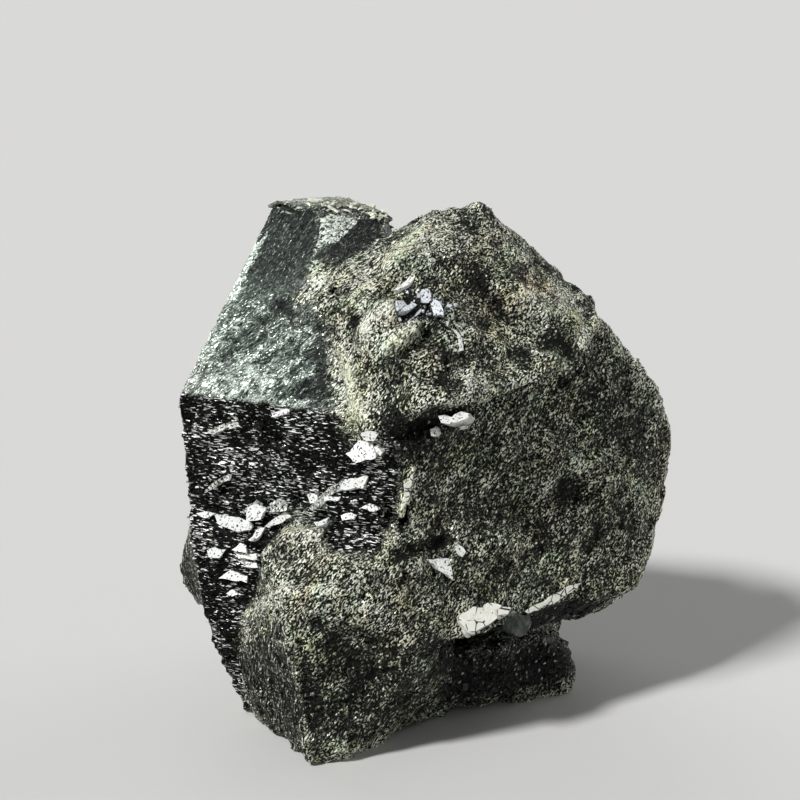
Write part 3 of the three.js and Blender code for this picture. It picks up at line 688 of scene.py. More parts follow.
def addMask(mesh, name, values):
    values = np.clip(values, 0, 1).astype(np.float32)
    mesh.attributes.new(name, "FLOAT", "POINT").data.foreach_set("value", values)


steppedFacings = [frontFacing, (-0.9, -0.4, 0)]
crestForm = {"rounds": (4, 26), "weights": (1.5, 0.32)}  # rounds of smoothing to compare with, and weights


def proudness(mesh, points):  # above a half on crests, below it in crevices
    ends = np.zeros(len(mesh.edges) * 2, np.int32)
    mesh.edges.foreach_get("vertices", ends)
    here, there = ends.reshape(-1, 2).T
    here, there = np.concatenate([here, there]), np.concatenate([there, here])
    normals = np.zeros(points.size, np.float32)
    mesh.vertex_normals.foreach_get("vector", normals)
    count = np.bincount(here, minlength=len(points))
    evened, heights = points, []
    for rounds in crestForm["rounds"]:
        for _ in range(rounds):
            sums = [np.bincount(here, evened[there, axis], len(points)) for axis in range(3)]
            evened = np.stack([total / count for total in sums], 1)
        heights.append(((points - evened) * normals.reshape(-1, 3)).sum(1))
    sharp, wide = crestForm["weights"]
    return 0.5 + sharp * heights[0] + wide * heights[1]


def maskStone(mesh, points):
    distances, _ = blockDistances(points)
    nearest = np.min(list(distances.values()), 0)
    fade = stoneForm["blockFade"]
    share = {name: np.clip(1 - (distance - nearest) / fade, 0, 1) for name, distance in distances.items()}
    crystal = np.max([share[name] for name in blocks if blocks[name]["kind"] == "crystal"], 0)
    ore = np.max([share[name] for name in blocks if "ore" in blocks[name]["kind"].lower()], 0)
    stepped = [share["leftCrystal"] * faceShare("leftCrystal", facing, points) for facing in steppedFacings]
    stepped = np.max(stepped + [share[name] for name in ("lowStep", "midStep", "rearCrystal")], 0)
    bared = np.clip(2 * patchMask(points, baredSpots), 0, 1)
    addMask(mesh, "crystal", np.maximum(crystal - ore, bared))
    addMask(mesh, "ore", ore - bared)
    addMask(mesh, "dense", np.max([share[name] for name in blocks if blocks[name]["kind"] == "denseOre"], 0))
    addMask(mesh, "stepped", np.maximum(stepped * (1 - ore), bared))
    addMask(mesh, "blade", share["leftFlake"])
    addMask(mesh, "prong", share["frontFoot"] * faceShare("frontFoot", (-0.84, -0.54, 0), points))
    addMask(mesh, "proud", proudness(mesh, points))
    length, size = stoneForm["patchWander"]
    wander = np.stack([length * swell(points, size, seed) for seed in (71, 72, 73)], 1)
    for name, spots in patches.items():
        addMask(mesh, name, patchMask(points + wander, spots) * (1 - bared))


maskStone(stone.data, stonePoints)
print("colour patches laid out")


def setStops(ramp, stops):
    while len(ramp.elements) < len(stops):
        ramp.elements.new(0.5)
    for element, (place, colour) in zip(ramp.elements, stops):
        element.position = place
        element.color = (*colour, 1)


def addNode(tree, kind, settings, values):  # settings first, then the values or links of its sockets
    made = tree.nodes.new(kind)
    for name, value in settings.items():
        if name == "stops":
            setStops(made.color_ramp, value)
        else:
            setattr(made, name, value)
    for name, value in values.items():
        if isinstance(value, Wire):
            value = value.socket
        if isinstance(value, bpy.types.NodeSocket):
            tree.links.new(value, made.inputs[name])
        else:
            made.inputs[name].default_value = value
    return made


class Wire:  # one node output that takes part in sums
    def __init__(self, paint, socket):
        self.paint = paint
        self.socket = socket

    def __add__(self, other):
        return self.paint.sum("ADD", self, other)

    def __radd__(self, other):
        return self.paint.sum("ADD", other, self)

    def __sub__(self, other):
        return self.paint.sum("SUBTRACT", self, other)

    def __rsub__(self, other):
        return self.paint.sum("SUBTRACT", other, self)

    def __mul__(self, other):
        return self.paint.sum("MULTIPLY", self, other)

    def __rmul__(self, other):
        return self.paint.sum("MULTIPLY", other, self)

    def between(self, low, high):  # 0 at low, 1 at high
        return self.paint.node("ShaderNodeMapRange", {}, {"Value": self, "From Min": low, "From Max": high})


class Paint:  # builds one material's nodes
    def __init__(self, name):
        self.material = bpy.data.materials.new(name)
        self.material.use_nodes = True
        self.tree = self.material.node_tree
        self.tree.nodes.clear()
        place = self.node("ShaderNodeTexCoord", {}, {}, "Object")
        self.place = self.vector("SCALE", place, 1 / millimetre)

    def node(self, kind, settings, values, output=0):
        made = addNode(self.tree, kind, settings, values)
        return Wire(self, made.outputs[output]) if len(made.outputs) else made

    def sum(self, operation, a, b):
        return self.node("ShaderNodeMath", {"operation": operation}, {0: a, 1: b})

    def larger(self, a, b):
        return self.sum("MAXIMUM", a, b)

    def vector(self, operation, a, b=None, output=0):
        values = {0: a} if b is None else {0: a, "Scale" if operation == "SCALE" else 1: b}
        return self.node("ShaderNodeVectorMath", {"operation": operation}, values, output)

    def mask(self, name):
        return self.node("ShaderNodeAttribute", {"attribute_name": name}, {}, "Fac")

    def turned(self, axis, stretch, place=None):  # place seen along an axis, drawn out along it
        turn = Vector((1, 0, 0)).rotation_difference(Vector(axis)).to_euler()
        values = {"Vector": place or self.place, "Rotation": turn, "Scale": stretch}
        return self.node("ShaderNodeMapping", {"vector_type": "TEXTURE"}, values)

    def noise(self, size, detail, place=None, output=0):  # size in millimetres
        values = {"Vector": place or self.place, "Scale": 1 / size, "Detail": detail}
        return self.node("ShaderNodeTexNoise", {}, values, output)

    def band(self, size, detail, low, high, place=None):  # noise, stretched between two of its values
        return self.noise(size, detail, place).between(low, high)

    def cells(self, size, place=None):  # three random values for each small cell
        values = {"Vector": place or self.place, "Scale": 1 / size}
        return self.node("ShaderNodeTexVoronoi", {}, values, "Color")

    def channel(self, colour, index):
        return self.node("ShaderNodeSeparateColor", {}, {"Color": colour}, index)

    def mix(self, share, a, b, blend="MIX"):
        a, b = [value if isinstance(value, Wire) else (*value, 1) for value in (a, b)]
        settings = {"data_type": "RGBA", "blend_type": blend}
        return self.node("ShaderNodeMix", settings, {"Factor": share, 6: a, 7: b}, 2)

    def ramp(self, value, stops):
        return self.node("ShaderNodeValToRGB", {"stops": stops}, {"Fac": value})

    def inside(self, corners, place):  # 1 between the lines that join the corners, 0 outside them
        corners = [Vector(corner) for corner in corners]
        middle = sum(corners, Vector()) / len(corners)
        sides = list(zip(corners, corners[1:]))
        normal = sum([(a - middle).cross(b - middle) for a, b in sides], Vector()).normalized()
        nearest = 1
        for corner, following in sides:
            inward = normal.cross(following - corner).normalized()
            along = self.vector("DOT_PRODUCT", place, inward, "Value")
            nearest = self.sum("MINIMUM", along - inward.dot(corner), nearest)
        return nearest.between(-0.03, 0.03)

    def turnedNormal(self, cells, amount):  # normals that turn a little from cell to cell
        lean = self.vector("SCALE", self.vector("SUBTRACT", cells, (0.5, 0.5, 0.5)), amount)
        normal = self.node("ShaderNodeNewGeometry", {}, {}, "Normal")
        return self.vector("NORMALIZE", self.vector("ADD", normal, lean))

    def bump(self, height, distance, normal=None):  # distance in millimetres
        values = {"Height": height, "Distance": distance * millimetre}
        if normal is not None:
            values["Normal"] = normal
        return self.node("ShaderNodeBump", {}, values)

    def shade(self, values):
        shader = self.node("ShaderNodeBsdfPrincipled", {}, values)
        self.node("ShaderNodeOutputMaterial", {}, {"Surface": shader})
        return self.material


# Colours from darkest to palest speck, in linear light
speckles = {
    "ore": [(0, (0.002, 0.002, 0.0015)), (0.25, (0.012, 0.012, 0.009)), (0.45, (0.06, 0.062, 0.05)),
        (0.62, (0.2, 0.21, 0.163)), (0.8, (0.56, 0.575, 0.455)), (1, (0.95, 0.96, 0.84))],
    "crystal": [(0, (0.004, 0.005, 0.0045)), (0.28, (0.024, 0.028, 0.025)), (0.48, (0.09, 0.106, 0.09)),
        (0.64, (0.24, 0.275, 0.236)), (0.8, (0.54, 0.59, 0.52)), (1, (0.92, 0.96, 0.88))],
    "black": [(0, (0.002, 0.002, 0.002)), (0.35, (0.005, 0.0055, 0.005)), (0.65, (0.035, 0.037, 0.033)),
        (1, (0.2, 0.21, 0.19))],
    "glass": [(0, (0.002, 0.002, 0.002)), (0.5, (0.006, 0.0065, 0.007)), (1, (0.05, 0.054, 0.056))],
    "ice": [(0, (0.05, 0.055, 0.06)), (0.4, (0.5, 0.53, 0.58)), (1, (0.95, 0.97, 1))],
}


# Size in millimetres, detail, and the two values of the noise that become 0 and 1
stoneNoises = {
    "fine": (0.17, 1, 0.44, 0.56),  # specks of the ore
    "strokes": (0.3, 2, 0.38, 0.62),
    "streaks": (0.2, 1, 0.42, 0.58),
    "middle": (1.2, 3, 0.3, 0.7),
    "broad": (5, 3, 0.3, 0.7),
    "grainy": (2.4, 2, 0.4, 0.6),  # where the ore is coarse
    "creased": (3, 1, 0.46, 0.56),  # where it has creases
    "striped": (0.2, 1, 0.46, 0.56),  # upright stripes of the blade and the prong
    "waves": (0.13, 2, 0.42, 0.6),  # streaks across the slope
    "swirl": (1.1, 3, 0.34, 0.66),
    "scratches": (0.12, 1, 0.6, 0.64),  # on the slope's smooth top
    "patchy": (2.2, 3, 0.35, 0.65),
    "lines": (0.15, 2, 0.4, 0.62),  # level lines of the stepped faces
}
# The way that each pattern is drawn out, and how far
stoneTurns = {
    "flow": (stoneForm["flow"], (1.8, 1, 1)),
    "drawn": (stoneForm["streaks"], (7, 1, 1)),
    "upslope": ((0.61, 0.59, 0.65), (9, 1, 1)),
    "upright": ((0.1, 0.1, 1), (6, 1, 1)),
    "across": ((0.86, 0.1, 0.5), (6, 1, 1)),
}
stoneSizes = {"wobble": 1 / 1.4, "tints": 1 / 0.3, "creases": 1.3, "ledgeHighlights": 0.17, "cells": 0.19}
stoneTints = [(0.9, 1, 0.94), (0.98, 1, 0.88), (1, 0.96, 0.87)]


def stoneMaterial():
    paint = Paint("skutteruditeAndOre")
    wobble = paint.vector("SCALE", paint.noise(stoneSizes["wobble"], 3, output="Color"), 0.8)
    uneven = paint.vector("SUBTRACT", paint.vector("ADD", paint.place, wobble), (0.4, 0.4, 0.4))
    flow, drawn, upslope, upright = [
        paint.turned(*stoneTurns[name]) for name in ("flow", "drawn", "upslope", "upright")]
    across = paint.turned(*stoneTurns["across"], uneven)
    level = paint.node("ShaderNodeMapping", {}, {"Vector": paint.place, "Scale": (0.26, 0.26, 1.5)})
    ore, crystal, stepped, proud = [paint.mask(name) for name in ("ore", "crystal", "stepped", "proud")]
    cream, dark, soft, frost = [paint.mask(name) for name in ("cream", "dark", "soft", "frost")]
    blade, prong, streaked, cavern = [paint.mask(name) for name in ("blade", "prong", "streaked", "cavern")]
    dense, rim = paint.mask("dense"), paint.mask("rim")
    fine, strokes, middle = [paint.band(*stoneNoises[name], flow) for name in ("fine", "strokes", "middle")]
    waves, swirl = [paint.band(*stoneNoises[name], across) for name in ("waves", "swirl")]
    broad, grainy, creased, patchy = [
        paint.band(*stoneNoises[name]) for name in ("broad", "grainy", "creased", "patchy")]
    streaks = paint.band(*stoneNoises["streaks"], drawn)
    striped = paint.band(*stoneNoises["striped"], upright)
    scratches = paint.band(*stoneNoises["scratches"], upslope)
    lines = paint.band(*stoneNoises["lines"], level)
    cells = paint.cells(stoneSizes["cells"], flow)
    speck = paint.channel(cells, 0)
    glint = paint.channel(cells, 1).between(0.965, 0.975)
    shiny = paint.channel(cells, 1).between(0.66, 0.7)
    # Painted light and shade from the relief: paler on crests, darker in crevices
    paintedReliefShade = proud - 0.5

    # Granular ore: specks, creases and patches of colour, with painted light and shade on top
    calm = 1 - soft * 0.6
    coarse = grainy * (1 - dense * 0.5) + dense * 0.25
    rough = fine * (coarse * 0.4 + 0.65 - streaked * 0.4) + streaks * streaked * 0.65
    rough = (rough + speck * (coarse * 0.2 + 0.45) + strokes * 0.26) * calm
    # Creases darker in colour: painted shade in them, on top of the dip they give the bump
    contour = paint.noise(stoneSizes["creases"], 3, flow) - 0.5
    creases = paint.node("ShaderNodeMath", {"operation": "ABSOLUTE"}, {0: contour}).between(0.02, 0.006)
    creases = creases * creased * (calm - dense * 0.3)
    tone = rough + soft * 0.54 + middle * (0.14 - dense * 0.08) + (broad - 0.5) * (0.24 - dense * 0.12)
    tone = tone + paintedReliefShade * (0.5 + dense * 0.2) - 0.575 + dense * 0.025
    # Cream veins and knobs with painted light on the lit bands, painted shade in the dark patches and the
    # creases, and painted glints
    tone = tone + cream * 0.5 - dark * 0.55 + glint * 0.8 - creases * 0.4
    colour = paint.ramp(tone, speckles["ore"])
    tints = paint.noise(stoneSizes["tints"], 3, output="Color")
    for index, tint in enumerate(stoneTints):
        colour = paint.mix(paint.channel(tints, index).between(0.49, 0.65), colour, tint, "MULTIPLY")
    colour = paint.mix(paint.mask("rust") * 0.6, colour, (1, 0.78, 0.56), "MULTIPLY")
    colour = paint.mix(paint.mask("violet") * 0.8, colour, (0.9, 0.88, 1), "MULTIPLY")

    # Striped blade and prong, with painted light and shade from their relief, and the cave and the hollow
    # under the lip painted near black as shade, with painted glints
    stripes = striped * 1.2 + speck * 0.6 + fine * 0.4 - 1.16 - dark * 0.3 + paintedReliefShade * 0.8
    colour = paint.mix(paint.larger(blade, prong), colour, paint.ramp(stripes, speckles["ore"]))
    caveShadeColour = paint.ramp(speck * 0.4 + fine * 0.4 + strokes * 0.2 - 0.34, speckles["black"])
    colour = paint.mix(cavern, colour, paint.mix(glint * 0.8, caveShadeColour, (0.7, 0.72, 0.7)))

    # Slope of the left crystal, with its smooth, corner, dusky and bright facets
    heightUp = paint.node("ShaderNodeSeparateXYZ", {}, {"Vector": paint.place}, "Z")
    sheen = paint.inside(topFacets["smooth"], uneven) * heightUp.between(44.6, 48.6)
    for name in ("corner", "dusky"):
        sheen = paint.larger(sheen, paint.inside(topFacets[name], uneven))
    sparkle = paint.inside(topFacets["bright"], uneven)
    # Paler on crests, darker in crevices: painted light and shade
    slopeTone = waves * 0.5 + speck * 0.2 + fine * 0.2 + swirl * 0.3 + frost * 0.34 - 0.19 + paintedReliefShade * 0.6
    sheenTone = scratches * 0.36 + fine * 0.1 + middle * 0.06 + waves * 0.06 + 0.13
    sparkleTone = strokes * 0.7 + fine * 0.6 + speck * 0.5
    slopeTone = slopeTone * (1 - sheen) + sheenTone * sheen
    # Darker in the dark patches: painted shade
    slopeTone = slopeTone * (1 - sparkle) + sparkleTone * sparkle - dark * 0.4 - rim * 0.2
    slope = paint.ramp(slopeTone, speckles["crystal"])

    # Black stepped faces with bright dashes, painted highlights where the ledges catch the light; darker in
    # the dark patches as painted shade
    ledgeHighlights = paint.noise(stoneSizes["ledgeHighlights"], 1, level) + patchy * 0.1 + broad * 0.12 - dark * 0.12
    ledgeHighlights = ledgeHighlights.between(0.735, 0.75)
    frontTone = lines * 0.6 + speck * 0.3 + patchy * 0.3 - 0.46 - dark * 0.2
    front = paint.mix(ledgeHighlights, paint.ramp(frontTone, speckles["black"]), (0.97, 0.98, 0.93))
    colour = paint.mix(crystal * (1 - cream), colour, paint.mix(stepped, slope, front))
    colour = paint.mix(paint.mask("teal") * 0.45, colour, (0.86, 1, 0.97), "MULTIPLY")

    metallic = shiny * 0.6 * (1 - soft) + crystal * 0.2 * (1 - stepped) + stepped * 0.6 * (1 - ledgeHighlights)
    roughness = 0.6 - shiny * 0.22 - crystal * 0.14 - cavern * 0.2
    height = (fine * 0.3 + strokes * 0.7) * (1 - crystal * 0.7) + waves * crystal * 0.2
    height = height + ledgeHighlights * stepped * 0.6 + striped * (blade + prong) * 0.8 - creases
    normal = paint.turnedNormal(cells, (1 - soft) * (ore * 0.65 + stepped * 0.1 + 0.1))
    return paint.shade({
        "Base Color": colour, "Metallic": metallic, "Roughness": roughness, "Specular IOR Level": 0.2,
        "Normal": paint.bump(height, 0.14, normal)})


def grainMaterial(name, stops, metallic, roughness):  # one tone for each grain
    paint = Paint(name)
    tone = paint.mask("tone")
    speck = paint.band(0.25, 2, 0.35, 0.65)
    colour = paint.ramp(tone * 0.8 + speck * 0.2, stops)
    return paint.shade({
        "Base Color": colour, "Metallic": metallic, "Roughness": roughness + speck * 0.15,
        "Normal": paint.bump(speck, 0.04)})


def plateMaterial(name, dark, light, pits, roughness, cracked=0):  # flat facets with pits and fine streaks
    paint = Paint(name)
    flow = paint.turned((0.6, 0.42, 0.68), (6, 1, 1))
    streaks = paint.band(0.16, 1, 0.56, 0.62, flow)
    cloud = paint.band(0.9, 4, 0.3, 0.7)
    speck = paint.channel(paint.cells(0.17), 0)
    colour = paint.mix(cloud * 0.55 + streaks * 0.5 + speck * 0.3 - 0.1, dark, light)
    web = {"feature": "DISTANCE_TO_EDGE"}
    cracks = paint.node("ShaderNodeTexVoronoi", web, {"Vector": paint.place, "Scale": 1 / 1.1})
    cracks = cracks.between(0.06, 0.025) * paint.band(1.6, 1, 0.42, 0.48) * cracked
    pitted = paint.larger(paint.band(0.22, 3, pits, pits + 0.03), cracks)
    # Darker in the pits and cracks: painted shade, on top of the dip they give the bump
    colour = paint.mix(pitted, colour, (0.015, 0.016, 0.016))
    height = streaks * 0.3 - pitted * 0.7 + speck * 0.2
    return paint.shade({
        "Base Color": colour, "Roughness": roughness + pitted * 0.3, "Specular IOR Level": 0.3,
        "Normal": paint.bump(height, 0.06)})


finishes = {
    "stone": stoneMaterial(),
    "grain": grainMaterial("greyGrains", speckles["ore"], 0.3, 0.4),
    "fleck": grainMaterial("brightFlecks", speckles["crystal"], 0.1, 0.35),
    "icyGrain": grainMaterial("icyGrains", speckles["ice"], 0, 0.25),
    "glassy": grainMaterial("darkCrystals", speckles["glass"], 0.2, 0.12),
    # Cleavage and broken plates near white: partly their pale faces, partly painted highlight where they
    # catch the light
    "cleavage": plateMaterial("brightCleavage", (0.74, 0.76, 0.72), (0.98, 0.98, 0.96), 0.59, 0.3),
    "broken": plateMaterial("brokenCleavage", (0.8, 0.8, 0.7), (0.98, 0.98, 0.92), 0.66, 0.3, 1),
    "icy": plateMaterial("icyFacet", (0.62, 0.66, 0.7), (0.94, 0.97, 1), 0.58, 0.25),
    "frosted": plateMaterial("frostedFacet", (0.12, 0.135, 0.115), (0.97, 0.98, 0.9), 0.54, 0.5),
    "dusky": plateMaterial("duskyFacet", (0.02, 0.025, 0.022), (0.12, 0.142, 0.125), 0.7, 0.45),
}
stone.data.materials.append(finishes["stone"])
print("materials made")


plateForm = {
    "lift": 0.1,  # how far a plate stands out of the skin
    "depth": 0.9,  # how far it reaches in, where none is given
    "foot": 0.9,  # size of its inner side, as a share of the outer one
    "edge": 0.6,  # longest piece of its outline
    "wander": 0.1,  # how far the outline strays
    "seed": 5,
}

# For each finish, the lean, depth and corners of its plates. The lean is how far the lowest corner
# stands proud, as a share of the plate's height. A depth of 0 moves the corners onto the skin;
# otherwise they stay where they are and run clockwise.
plates = {
    "cleavage": {
        "rowStart": (0.5, 0, [(-24.6, -6.7, 23.3), (-23.5, -7.2, 23.8), (-22.5, -7.9, 23.6),
            (-23.6, -7.4, 23)]),
        "rowLong": (0.5, 0, [(-22.8, -7.7, 23.6), (-20.5, -8.6, 23.6), (-18.3, -9.8, 23.3),
            (-18.4, -10.2, 22.5), (-20.1, -9.7, 22.2), (-22.1, -8.4, 22.5)]),
        "rowMiddle": (0.6, 0, [(-18.8, -9.1, 25), (-18.1, -9.7, 25.6), (-16.8, -10.3, 25.2),
            (-17, -10.2, 24.2), (-18.5, -9.3, 23.8)]),
        "rowEnd": (0.6, 0, [(-16.8, -10.2, 23.5), (-14.9, -11, 25.1), (-14.1, -11.3, 24.7),
            (-15.3, -10.7, 23.9)]),
        "slantLow": (0.5, 0, [(-18.5, -10.7, 21.6), (-17.8, -10.3, 22.8), (-17.1, -10.4, 23),
            (-17.4, -10.9, 22.2), (-18.2, -10.8, 21.4)]),
        "flakeLeft": (0.6, 0, [(-23.4, -8.8, 19.9), (-22.7, -8.9, 20.2), (-21.4, -9.6, 20.1),
            (-21.9, -9.3, 19.4), (-23, -8.7, 19.3)]),
        "flakeUpper": (0.6, 0, [(-20.5, -9.9, 20.3), (-19.9, -10, 21.1), (-19.1, -10.3, 21),
            (-18.9, -10.5, 20.3)]),
        "flakeMiddle": (0.6, 0, [(-20.4, -9.9, 20), (-18.2, -10.8, 20.2), (-17.8, -11, 19.7),
            (-19.9, -10.2, 19.5)]),
        "flakeLower": (0.6, 0, [(-20.2, -10, 19.1), (-18, -10.9, 19.2), (-17.7, -11.2, 18.7),
            (-18.8, -10.7, 18.6)]),
        "flakeLow": (0.6, 0, [(-22, -9.4, 17), (-21, -9.7, 17.9), (-18.9, -10.6, 17.6), (-19, -10.7, 17.1),
            (-20.4, -10.1, 17)]),
        "flecksBelow": (0.6, 0, [(-21.4, -9.7, 15.4), (-20.8, -9.9, 15.8), (-20.1, -10.2, 15.4),
            (-20.7, -10.1, 15.1)]),
        "hook": (0.4, 0, [(-16, -10.7, 35.7), (-15.2, -10.6, 35.9), (-14.2, -11.2, 36.5),
            (-14.1, -11.1, 36), (-15, -11.1, 35.6), (-15.9, -10.8, 35.4)]),
        "fiveSided": (0.6, 0, [(-7.9, -14, 32.6), (-6.9, -14.5, 34), (-5.6, -15.1, 34), (-4.8, -15.4, 32.6),
            (-6.7, -14.6, 32)]),
        "besideFiveSided": (0.5, 0, [(-5.4, -14.9, 33.5), (-5, -15.3, 34), (-4.4, -15.5, 33.2),
            (-4.5, -15.5, 32.9)]),
        "aboveFiveSided": (0.5, 0, [(-6.8, -15, 34.9), (-6, -15.3, 35.4), (-5, -15.6, 35.2),
            (-5.3, -15.5, 34.6), (-6.3, -15.1, 34.5)]),
        "patch": (0.6, 0, [(-8.5, -13.9, 29.2), (-7.7, -14.1, 29.7), (-6.1, -14.8, 30.1), (-6.3, -15.1, 29),
            (-8.5, -14.4, 28.4)]),
        "dashOne": (0.5, 0, [(-10.5, -13.9, 27.8), (-8.9, -14.6, 27.9), (-9, -14.7, 27.5),
            (-10.4, -14, 27.3)]),
        "dashTwo": (0.6, 0, [(-8.8, -15.1, 26.1), (-7.9, -15.2, 26.5), (-7.1, -15.6, 26.3),
            (-7.4, -15.7, 25.9), (-8.5, -15.2, 25.7)]),
        "dashThree": (0.6, 0, [(-6.7, -15.9, 27.2), (-5.9, -16, 27.8), (-4.8, -16.6, 27.4),
            (-5.2, -16.6, 27)]),
        "dashFour": (0.5, 0, [(-11.4, -13.6, 24.7), (-10.4, -14.1, 25.4), (-10.1, -14.6, 24.8),
            (-11, -14.6, 24.3)]),
        "dashFive": (0.5, 0, [(-12.4, -12.2, 27.2), (-11.5, -12.6, 27.5), (-11.4, -12.8, 27.1),
            (-12.2, -12.4, 26.9)]),
        "underLip": (0, 6, [(1.1, -16.5, 37.3), (1.8, -16.6, 37.4), (2.5, -16.8, 37.3), (2.9, -16.7, 37.6),
            (3.4, -16.7, 37.8), (4, -16.9, 37.6), (4.3, -17, 37.5), (3.9, -17.1, 37.1), (3.1, -17, 36.8),
            (2.2, -17, 36.6), (1.4, -16.9, 36.6)]),
        "underLipLeft": (0, 3.6, [(0.3, -15.2, 35.3), (0.7, -15.1, 35.6), (1, -15.2, 35.7),
            (1.1, -15.3, 35.3), (0.9, -15.5, 34.8), (0.4, -15.4, 34.8)]),
        "underLipDot": (0, 4.4, [(3.2, -14.7, 35.5), (3.8, -14.7, 35.7), (3.9, -14.8, 35.5),
            (3.4, -14.8, 35.2)]),
        "triangle": (1, 0, [(-0.2, -16.7, 21.8), (2.1, -15.2, 21.4), (1.5, -15.9, 19.8)]),
        "spark": (0.9, 0, [(2.9, -14.8, 22.6), (3.5, -14.5, 22.7), (3.6, -14.4, 21.9), (3.2, -14.9, 21.6)]),
        "brightBlade": (0.3, 0, [(-3.4, -9.4, 48.3), (-3, -9.1, 48.7), (-1.3, -8.1, 49.9),
            (-1.1, -8.4, 49.7), (-1.5, -9.1, 49), (-3, -9.4, 48.3)]),
        "forkLeft": (0.2, 0, [(2.6, -12, 45.1), (2.9, -12, 45), (3.4, -12.4, 44.4), (3.4, -13.2, 43.1),
            (3.1, -13.4, 43.1), (3.1, -12.5, 44.3)]),
        "forkRight": (0.2, 0, [(3.4, -12.1, 44.7), (3.6, -11.8, 45), (3.9, -11.8, 45), (3.5, -12.3, 44.5)]),
        "skylineGrain": (0.3, 0, [(-0.7, 1.6, 54.6), (-0.3, 1.6, 55), (0.2, 1.6, 54.9), (0.1, 1.6, 54.5),
            (-0.4, 1.6, 54.3)]),
        "rearUpper": (0.3, 0, [(-19.2, 9.8, 30.2), (-17.4, 11.6, 31), (-16.8, 12.2, 29.8),
            (-18.4, 10.6, 29.2)]),
        "rearMiddle": (0.4, 0, [(-16.8, 12.2, 27.4), (-15.4, 13.4, 28.2), (-14.2, 14.4, 27.6),
            (-14.8, 13.8, 26.9), (-16.4, 12.6, 26.8)]),
        "rearFoot": (0.4, 0, [(-15.8, 13.2, 22.4), (-14.6, 14.4, 22.9), (-13.6, 15.2, 22.3),
            (-15, 14, 21.8)]),
        "rightFacet": (0.2, 0, [(22.6, 8.6, 27.4), (21.2, 10.4, 28), (20.8, 10.8, 26.8), (22.2, 9, 26.2)])},
    "broken": {
        "brokenEdge": (0, 2, [(3.1, -16.8, 15.5), (3.9, -16.2, 15.8), (4.8, -15.7, 16), (5.6, -15.3, 16),
            (6.4, -14.8, 16.2), (7.4, -14.6, 16), (8.1, -14.6, 15.7), (8.9, -14.4, 15.6), (8.5, -15, 15.1),
            (7.6, -15.4, 15), (6.8, -16.2, 14.5), (5.8, -16.8, 14.2), (4.8, -17.6, 13.9),
            (4.2, -17.6, 14.1), (3.8, -17.3, 14.6), (3.4, -17.1, 15)]),
        "brokenEdgeThin": (0, 1.4, [(10.6, -12.3, 14.1), (11.6, -11.5, 14.5), (12.8, -10.8, 14.7),
            (13.6, -10, 15.1), (14.7, -9.3, 15.3), (15.7, -8.5, 15.7), (16.8, -7.9, 15.7),
            (16.3, -8.4, 15.1), (15.2, -9.2, 14.8), (14.3, -10, 14.4), (13.1, -10.6, 14.3), (12, -11.5, 14),
            (10.9, -12.2, 13.9)]),
        "upright": (0.1, 0, [(-1.5, -16, 31), (-1.4, -16.1, 30.2), (-1.9, -16.3, 29.3), (-2, -16.5, 28.4),
            (-2.6, -16.9, 27.6), (-2.6, -16.7, 28.5), (-2.3, -16.5, 29.1), (-2.3, -16.3, 29.8),
            (-1.8, -16.1, 30.3)])},
    "icy": {
        "iceOne": (0.3, 0, [(-3.2, -10.8, 47.8), (-2.5, -9.9, 47.7), (-2.3, -10.5, 47.2),
            (-2.9, -12, 47.1)]),
        "iceTwo": (0.4, 0, [(-2.6, -11.5, 47.1), (-1.5, -10, 47.5), (-1.1, -10.2, 47.3), (-1.8, -11, 46.6),
            (-2.5, -12.1, 46.8)]),
        "iceThree": (0.4, 0, [(-2.2, -12.2, 46.4), (-0.7, -10.2, 46.8), (-0.6, -10.4, 46.5),
            (-1.8, -11.9, 46.1)]),
        "iceFour": (0.4, 0, [(-0.8, -9.6, 48.6), (0, -9.2, 48.7), (0.4, -9.7, 48.1), (0.1, -10, 47.2),
            (-0.6, -10, 47.4)]),
        "iceFive": (0.4, 0, [(0.4, -9.7, 48), (1, -9.9, 47.8), (1.6, -10.5, 47), (1.7, -11.7, 46.4),
            (1, -11.2, 46.3), (0.5, -10.1, 47.1)])},
    "frosted": {
        "mossLeft": (0.3, 0, [(-19.6, -8.6, 24.2), (-19, -9.3, 25.2), (-17.9, -9.8, 25.9),
            (-17.3, -10.1, 25.6), (-18.1, -9.3, 25.2)]),
        "mossRight": (0.4, 0, [(-16.6, -10.4, 24.9), (-16.4, -10, 25.7), (-15.1, -10.8, 26.4),
            (-14.4, -11.1, 26), (-14.5, -11.2, 25.2), (-15.7, -10.8, 24.9)]),
        "slantUpper": (0.3, 0, [(-23, -7.7, 32.8), (-21.6, -8.2, 33.7), (-20.1, -8.6, 34.2),
            (-19.3, -9.3, 33.8), (-20.7, -8.8, 33.5), (-22.3, -8, 32.6)]),
        "slantMiddle": (0.4, 0, [(-23.4, -7.6, 26.6), (-21.8, -8.2, 27.9), (-20.5, -8.9, 28.6),
            (-20.7, -8.6, 28), (-22, -7.9, 27.2), (-23.3, -7.6, 26.3)]),
        "patchTrail": (0.3, 0, [(-11.6, -12.5, 25.9), (-11.1, -12.7, 26.9), (-10.1, -13.4, 28.5),
            (-8.6, -13.7, 29.5), (-8.3, -14.2, 28.6), (-9.4, -14, 28), (-10.7, -12.9, 26)]),
        "forkTop": (0.2, 0, [(2.6, -11.7, 45.8), (3.9, -11.3, 45.5), (3.3, -12, 44.9)]),
        "spurLeft": (0.3, 0, [(4.1, -14.8, 40.8), (4.5, -15.1, 40.6), (4.4, -16, 39.4), (4, -16.2, 39.4)]),
        "spurRight": (0.3, 0, [(5.8, -14.4, 40.3), (6.1, -14.5, 40.2), (5.6, -15.4, 39.2),
            (5.3, -15.5, 39.3)]),
        "rearLow": (0.4, 0, [(-18.4, 10.6, 24.8), (-17, 12, 25.2), (-16.6, 12.4, 24.2),
            (-17.8, 11.2, 23.6)])},
    "dusky": {
